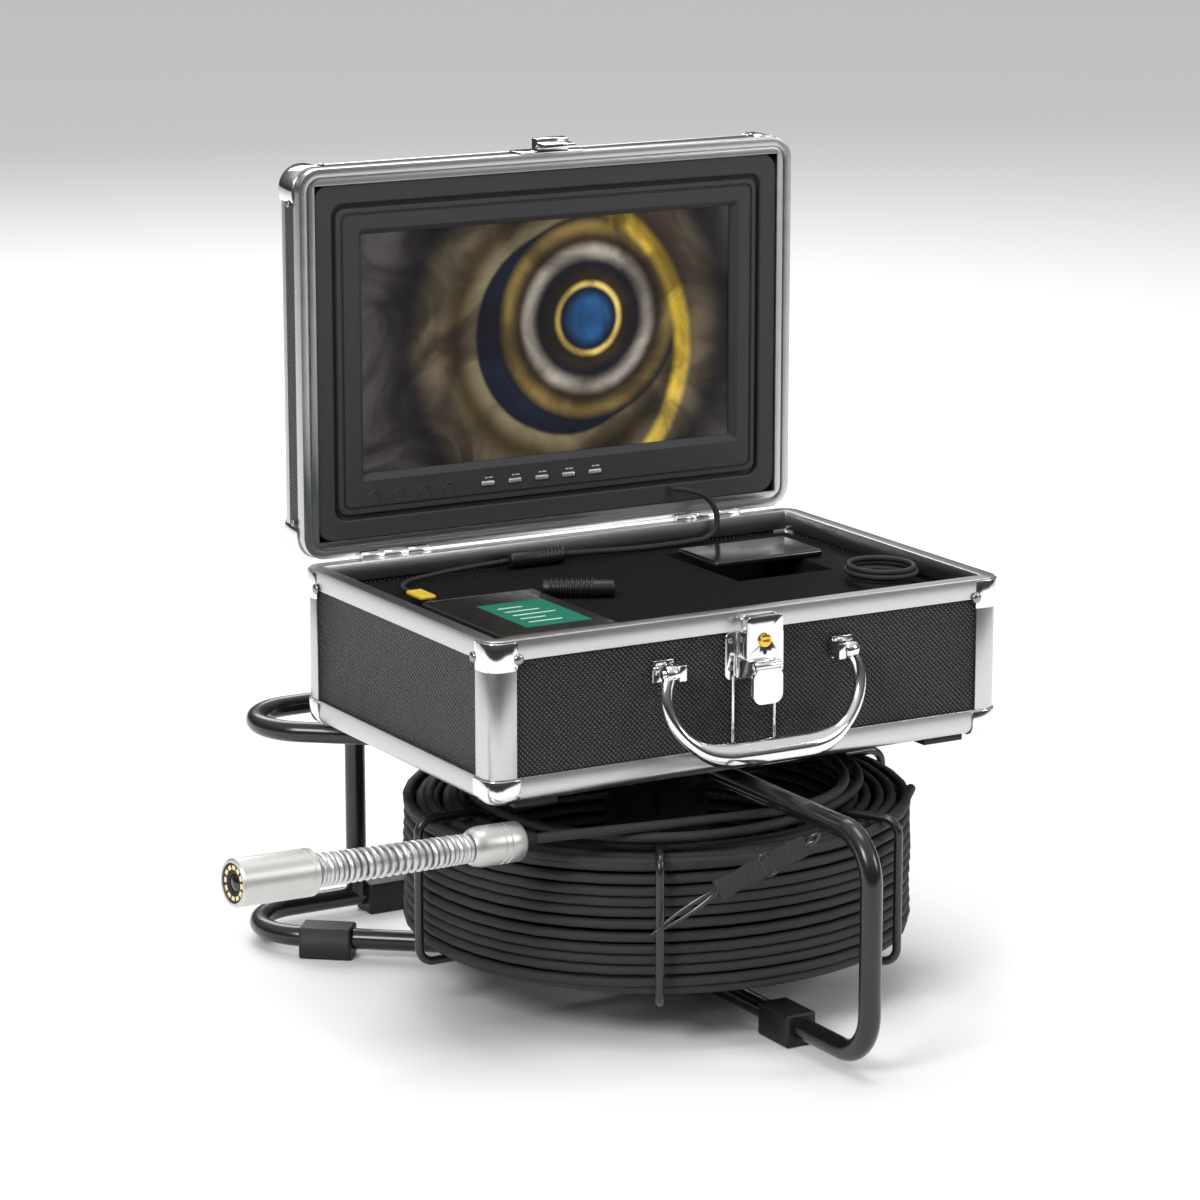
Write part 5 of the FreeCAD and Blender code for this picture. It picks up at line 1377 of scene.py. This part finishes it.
@dataclass
class Lid:
    """The lid with its monitor, buttons and hasp. Sizes in millimetres."""

    rivet: float = 1.8
    rivet_inset: float = 19.0
    window_gap: float = 0.1
    frame_depth: float = 9.0
    icon_radius: float = 3.1
    icon_wire: float = 0.25
    icon_count: int = 4
    icon_pitch: float = 14.5
    icon_start: float = 33.0
    icon_rise: float = 21.0
    mark_stand: float = 0.1

    def build(self) -> None:
        """Dress the lid's nodes and add the picture."""
        dress("lid_walls", PANEL)
        dress("lid_back_panel", PANEL)
        for node, finish, slot, width in (
            ("lid_rim", ALUMINIUM, "profile", 0.8), ("lid_back_edges", ALUMINIUM, "profile", 1.0),
            ("lid_hasp", CHROME, "chrome", 0.4), ("lid_corner_caps", CHROME, "chrome", 0.5),
            ("monitor_back", MONITOR, "monitor_plastic", 0.4), ("hinge_upper_leaves", CHROME, "chrome", 0.2),
        ):
            soften(node, finish, "lid", width)
        self.bezel()
        for node in frame["nodes"]:
            if node.startswith("button_"):
                soften(node, SILVER_CAP, node, 0.4)
        self.picture()
        self.rivets()
        self.icons()

    def bezel(self) -> None:
        """The monitor's front: an outer frame, a deep groove, a lipped inner frame and a chamfer."""
        low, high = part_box("monitor_frame")
        glass_low, glass_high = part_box("screen_glass")
        front = low.y
        back = high.y
        gap = self.window_gap * MM
        window = (glass_low.x - gap, glass_high.x + gap, glass_low.z - gap, glass_high.z + gap)
        outer = (low.x, high.x, low.z, high.z)
        rings = [
            (outer, 0, 9, 9), (outer, 0, 0.5, 9), (outer, 0.5, 0, 8.6), (outer, 9.2, 0, 6.5),
            (outer, 9.8, 0.4, 6.2), (outer, 10.0, 3.0, 6.0), (outer, 12.4, 3.0, 5.0), (outer, 12.7, 0.3, 5.0),
            (outer, 13.1, 0, 4.8), (outer, 14.8, 0, 4.2), (outer, 15.1, 0.9, 4.0), (outer, 16.2, 0.9, 3.4),
            (outer, 16.5, 0, 3.3), (window, -3.2, 0, 2.0), (window, -2.8, 0.25, 1.8), (window, 0, 3.6, 0.8),
            (window, 0, 9, 0.8),
        ]
        bm = bmesh.new()
        loops = []
        for (x_low, x_high, z_low, z_high), inset, depth, corner in rings:
            shape = rounded_rectangle(x_low + inset * MM, x_high - inset * MM, z_low + inset * MM,
                                      z_high - inset * MM, corner * MM, 8)
            loops.append([bm.verts.new((x, front + (back - front) * depth / self.frame_depth, z))
                          for x, z in shape])
        for near, far in zip(loops, loops[1:] + loops[:1]):
            for step in range(len(near)):
                after = (step + 1) % len(near)
                bm.faces.new((near[step], near[after], far[after], far[step]))
        bmesh.ops.recalc_face_normals(bm, faces=bm.faces)
        finished("monitor_bezel", bm, MONITOR, "lid", ["monitor_frame"], 25)

    def icons(self) -> None:
        """Small raised marks by the buttons, and four moulded icons at the left."""
        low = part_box("monitor_frame")[0]
        stand = self.mark_stand * MM
        bm = bmesh.new()
        for node in sorted(name for name in frame["nodes"] if name.startswith("button_")):
            key_low, key_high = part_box(node)
            middle = (key_low.x + key_high.x) / 2
            for shift, width in ((-1.6, 1.6), (0.6, 2.4)):
                soft_box(bm, Vector((middle + shift * MM, low.y - stand, key_high.z + 1.5 * MM)),
                         Vector((middle + (shift + width) * MM, low.y + stand, key_high.z + 2.1 * MM)),
                         0.04 * MM, 1)
        finished("button_marks", bm, PRINT, "lid")
        bm = bmesh.new()
        steps = 32
        for number in range(self.icon_count):
            centre = Vector((low.x + (self.icon_start + self.icon_pitch * number) * MM, low.y - stand,
                             low.z + self.icon_rise * MM))
            turns = [math.tau * step / steps for step in range(steps)]
            ring = [centre + Vector((self.icon_radius * math.cos(turn), 0,
                                     self.icon_radius * math.sin(turn))) * MM
                    for turn in turns]
            sweep(bm, ring, round_bar(self.icon_wire * MM), 6, closed=True)
        finished("moulded_icons", bm, ICON_GREY, "lid")

    def picture(self) -> None:
        """The lit picture on the screen: a view down a pipe, made of shading alone."""
        frame["nodes"]["screen_glass"].data.materials.clear()
        frame["nodes"]["screen_glass"].data.materials.append(pipe_picture())

    def rivets(self) -> None:
        """Rivets on the lid's corner caps."""
        low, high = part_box("lid_corner_caps")
        rim_low, rim_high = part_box("lid_walls")
        depth = (rim_low.y + rim_high.y) / 2
        inset = self.rivet_inset * MM
        places = []
        for x in (low.x, high.x):
            for z in (low.z, high.z):
                z_in = z + inset if z == low.z else z - inset
                x_in = x - math.copysign(inset, x)
                places.append((Vector((x, depth, z_in)), Vector((math.copysign(1, x), 0, 0))))
                places.append((Vector((x_in, depth, z)), Vector((0, 0, -1 if z == low.z else 1))))
        mesh = scattered("lid_rivets_tree", places, self.rivet * MM, RIVET)
        adopt("lid_rivets", mesh, RIVET, "lid")


class PictureTree:
    """The node tree of the lit picture: light and shade down a pipe."""

    def __init__(self, name: str) -> None:
        """Make the material.

        Args:
            name: The material's name.
        """
        self.material = bpy.data.materials.new(name)
        self.material.use_nodes = True
        self.nodes = self.material.node_tree.nodes
        self.links = self.material.node_tree.links
        self.shader = self.nodes["Principled BSDF"]
        self.place = self.nodes.new("ShaderNodeTexCoord").outputs["Object"]

    def rings(self, centre: Vector, reach: float, wobble: float) -> Socket:
        """Measure the distance from a point on the screen.

        Args:
            centre: The point in metres.
            reach: The distance in metres at which the result is 1.
            wobble: How much noise is added.

        Returns:
            The socket of the distance.
        """
        mapping = self.nodes.new("ShaderNodeMapping")
        mapping.inputs["Location"].default_value = (-centre.x, 0, -centre.z)
        self.links.new(self.place, mapping.inputs["Vector"])
        flat = self.nodes.new("ShaderNodeVectorMath")
        flat.operation = "MULTIPLY"
        flat.inputs[1].default_value = (1 / reach, 0, 1 / reach)
        self.links.new(mapping.outputs["Vector"], flat.inputs[0])
        noise = self.nodes.new("ShaderNodeTexNoise")
        noise.inputs["Scale"].default_value = 2.2
        noise.inputs["Detail"].default_value = 5
        self.links.new(flat.outputs["Vector"], noise.inputs["Vector"])
        distance = self.nodes.new("ShaderNodeVectorMath")
        distance.operation = "LENGTH"
        self.links.new(flat.outputs["Vector"], distance.inputs[0])
        return self.sum("MULTIPLY_ADD", noise.outputs["Fac"], wobble, distance.outputs["Value"])

    def sum(self, kind: str, first: Term, second: Term, third: Term = None) -> Socket:
        """Add a math node.

        Args:
            kind: Its operation.
            first: Its first socket or number.
            second: Its second socket or number.
            third: Its third socket or number, or None.

        Returns:
            The socket of its result.
        """
        made = self.nodes.new("ShaderNodeMath")
        made.operation = kind
        for slot, term in enumerate((first, second, third)):
            if isinstance(term, bpy.types.NodeSocket):
                self.links.new(term, made.inputs[slot])
            elif term is not None:
                made.inputs[slot].default_value = term
        return made.outputs["Value"]

    def ramp(self, term: Socket, stops: Sequence[Tuple[float, Color]]) -> Socket:
        """Add a colour ramp with smooth steps.

        Args:
            term: The value that chooses the colour.
            stops: Pairs of a value and its colour.

        Returns:
            The socket of the colour.
        """
        made = self.nodes.new("ShaderNodeValToRGB")
        bar = made.color_ramp
        bar.interpolation = "EASE"
        while len(bar.elements) < len(stops):
            bar.elements.new(0.5)
        for element, (position, color) in zip(bar.elements, stops):
            element.position = position
            element.color = (*color, 1)
        self.links.new(term, made.inputs["Fac"])
        return made.outputs["Color"]

    def mix(self, kind: str, share: Term, first: Socket, second: Socket) -> Socket:
        """Blend two colours.

        Args:
            kind: How they are blended.
            share: Socket or number of the second colour's share.
            first: The first colour.
            second: The second colour.

        Returns:
            The socket of the blend.
        """
        made = self.nodes.new("ShaderNodeMix")
        made.data_type = "RGBA"
        made.blend_type = kind
        factor = made.inputs["Factor"]
        if isinstance(share, bpy.types.NodeSocket):
            self.links.new(share, factor)
        else:
            factor.default_value = share
        colors = [socket for socket in made.inputs if socket.type == "RGBA"]
        self.links.new(first, colors[0])
        self.links.new(second, colors[1])
        return next(socket for socket in made.outputs if socket.type == "RGBA")


def pipe_picture() -> bpy.types.Material:
    """The screen's finish: rings of light and shade round the far end of a pipe."""
    low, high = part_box("screen_glass")
    middle = (low + high) / 2
    tree = PictureTree("pipe_picture")
    near = tree.rings(middle + Vector((0.012, 0, 0.002)), 0.125, 0.03)
    wall = tree.ramp(near, (
        (0.00, (0.03, 0.02, 0.02)), (0.34, (0.008, 0.012, 0.03)), (0.45, (0.004, 0.006, 0.016)),
        (0.47, (0.20, 0.16, 0.09)), (0.56, (0.05, 0.035, 0.012)), (0.66, (0.13, 0.10, 0.06)),
        (0.80, (0.015, 0.012, 0.012)), (1.00, (0.07, 0.06, 0.065)),
    ))
    bore = tree.rings(middle + Vector((0.024, 0, 0.008)), 0.10, 0.01)
    mouth = tree.ramp(bore, (
        (0.00, (0.01, 0.05, 0.14)), (0.10, (0.015, 0.09, 0.24)), (0.165, (0.003, 0.01, 0.03)),
        (0.19, (0.85, 0.62, 0.16)), (0.22, (0.03, 0.02, 0.005)), (0.30, (0.008, 0.006, 0.010)),
        (0.37, (0.42, 0.38, 0.32)), (0.43, (0.04, 0.025, 0.01)), (0.50, (0.22, 0.15, 0.04)),
        (0.56, (0.003, 0.004, 0.012)),
    ))
    inside = tree.ramp(bore, ((0.545, (1, 1, 1)), (0.575, (0, 0, 0))))
    color = tree.mix("MIX", inside, wall, mouth)
    arc = tree.rings(middle + Vector((-0.002, 0, -0.010)), 0.10, 0.015)
    gold = tree.ramp(arc, ((0.78, (0, 0, 0)), (0.83, (0.62, 0.43, 0.02)), (0.87, (0.50, 0.34, 0.02)),
                           (0.92, (0, 0, 0))))
    split = tree.nodes.new("ShaderNodeSeparateXYZ")
    tree.links.new(tree.place, split.inputs["Vector"])
    fade = 22.0
    rightward = tree.sum("MULTIPLY_ADD", split.outputs["X"], fade, -0.5 - fade * middle.x)
    mask = tree.ramp(rightward, ((0.0, (0, 0, 0)), (0.9, (1, 1, 1))))
    color = tree.mix("ADD", mask, color, gold)
    streak = tree.nodes.new("ShaderNodeTexNoise")
    streak.inputs["Scale"].default_value = 24
    streak.inputs["Detail"].default_value = 8
    streak.inputs["Distortion"].default_value = 1.2
    tree.links.new(tree.place, streak.inputs["Vector"])
    shade = tree.ramp(streak.outputs["Fac"], ((0.35, (0.16, 0.14, 0.13)), (0.65, (1.0, 1.0, 1.0))))
    color = tree.mix("MULTIPLY", 0.85, color, shade)
    tree.shader.inputs["Roughness"].default_value = 0.3
    tree.shader.inputs["Specular IOR Level"].default_value = 0.15
    tree.shader.inputs["Emission Strength"].default_value = 1.3
    tree.shader.inputs["Base Color"].default_value = (0.01, 0.01, 0.012, 1)
    tree.links.new(color, tree.shader.inputs["Emission Color"])
    return tree.material


@dataclass
class Studio:
    """Floor, light and camera."""

    focal: float = 129.2
    eye: Point = (-1.09695, -1.83126, 0.69161)
    pitch: float = 12.93
    azimuth: float = 29.93
    sensor: float = 36.0
    view_end: float = 50.0
    floor_near: float = -0.8
    floor_far: float = 9.0
    floor_side: float = 4.0
    floor_color: Color = (0.92, 0.92, 0.92)
    backdrop: Color = (0.93, 0.93, 0.94)
    exposure: float = -0.25
    target: Point = (0, 0, 0.2)
    sky: Tuple[Tuple[float, float], ...] = ((0.0, 0.04), (0.12, 0.10), (0.35, 0.22), (0.7, 0.9), (1.0, 0.8))
    lamps: Tuple[Tuple[str, Point, float, float], ...] = (
        ("key", (-1.9, -1.0, 1.6), 0.8, 34), ("fill", (1.9, -1.7, 1.3), 0.8, 20),
        ("rear", (0.6, 2.1, 1.9), 1.6, 40), ("top", (0.1, 0.0, 2.3), 1.0, 18),
    )

    def build(self) -> None:
        """Set the stage."""
        self.floor()
        self.world()
        self.lights()
        self.camera()

    def floor(self) -> None:
        """A pale floor that runs back from just in front of the stand."""
        mesh = bpy.data.meshes.new("studio_floor")
        turn = math.radians(self.azimuth)
        ahead = Vector((math.sin(turn), math.cos(turn), 0))
        right = Vector((math.cos(turn), -math.sin(turn), 0))
        near, far, side = self.floor_near, self.floor_far, self.floor_side
        corners = [ahead * reach + right * across for reach, across in (
            (near, -side), (near, side), (far, side), (far, -side))]
        mesh.from_pydata(corners, [], [(0, 1, 2, 3)])
        floor = bpy.data.objects.new("studio_floor", mesh)
        bpy.context.scene.collection.objects.link(floor)
        pale = bpy.data.materials.new("studio_pale")
        pale.use_nodes = True
        shader = pale.node_tree.nodes["Principled BSDF"]
        shader.inputs["Base Color"].default_value = (*self.floor_color, 1)
        shader.inputs["Roughness"].default_value = 0.9
        mesh.materials.append(pale)

    def world(self) -> None:
        """A sky that brightens upwards for reflections, and a pale one behind the object."""
        world = bpy.data.worlds.new("studio_world")
        world.use_nodes = True
        nodes = world.node_tree.nodes
        links = world.node_tree.links
        place = nodes.new("ShaderNodeTexCoord")
        split = nodes.new("ShaderNodeSeparateXYZ")
        links.new(place.outputs["Generated"], split.inputs["Vector"])
        ramp = nodes.new("ShaderNodeValToRGB")
        bar = ramp.color_ramp
        for position, _ in self.sky[1:-1]:
            bar.elements.new(position)
        for element, (position, level) in zip(bar.elements, self.sky):
            element.position = position
            element.color = (level, level, level * 1.02, 1)
        links.new(split.outputs["Z"], ramp.inputs["Fac"])
        seen = nodes.new("ShaderNodeLightPath")
        pale = nodes.new("ShaderNodeMix")
        pale.data_type = "RGBA"
        colors = [socket for socket in pale.inputs if socket.type == "RGBA"]
        links.new(seen.outputs["Is Camera Ray"], pale.inputs["Factor"])
        links.new(ramp.outputs["Color"], colors[0])
        colors[1].default_value = (*self.backdrop, 1)
        shown = next(socket for socket in pale.outputs if socket.type == "RGBA")
        links.new(shown, nodes["Background"].inputs["Color"])
        nodes["Background"].inputs["Strength"].default_value = 1.0
        bpy.context.scene.world = world
        view = bpy.context.scene.view_settings
        view.view_transform = "Standard"
        view.exposure = self.exposure

    def lights(self) -> None:
        """Soft boxes from the front left, right, back and above."""
        for name, place, size, power in self.lamps:
            lamp = bpy.data.lights.new(name, "AREA")
            lamp.size = size
            lamp.energy = power
            made = bpy.data.objects.new(name, lamp)
            made.location = place
            made.rotation_euler = (Vector(self.target) - Vector(place)).to_track_quat("-Z", "Y").to_euler()
            bpy.context.scene.collection.objects.link(made)

    def camera(self) -> None:
        """The camera at the viewing angle that shows the front and left side."""
        lens = bpy.data.cameras.new("view_camera")
        lens.lens = self.focal
        lens.sensor_width = self.sensor
        lens.clip_end = self.view_end
        made = bpy.data.objects.new("view_camera", lens)
        made.location = self.eye
        made.rotation_euler = (math.radians(90 - self.pitch), 0, math.radians(-self.azimuth))
        bpy.context.scene.collection.objects.link(made)
        bpy.context.scene.camera = made


def main() -> None:
    """Build the studio and every sub-assembly, and log each one as it is done."""
    logging.basicConfig(level=logging.INFO, format="%(name)s %(message)s")
    for part in (Studio(), CameraHead(), Reel(), Stand(), Strap(), Case(), Lid()):
        part.build()
        log.info("%s done", type(part).__name__)


if __name__ == "__main__":
    main()
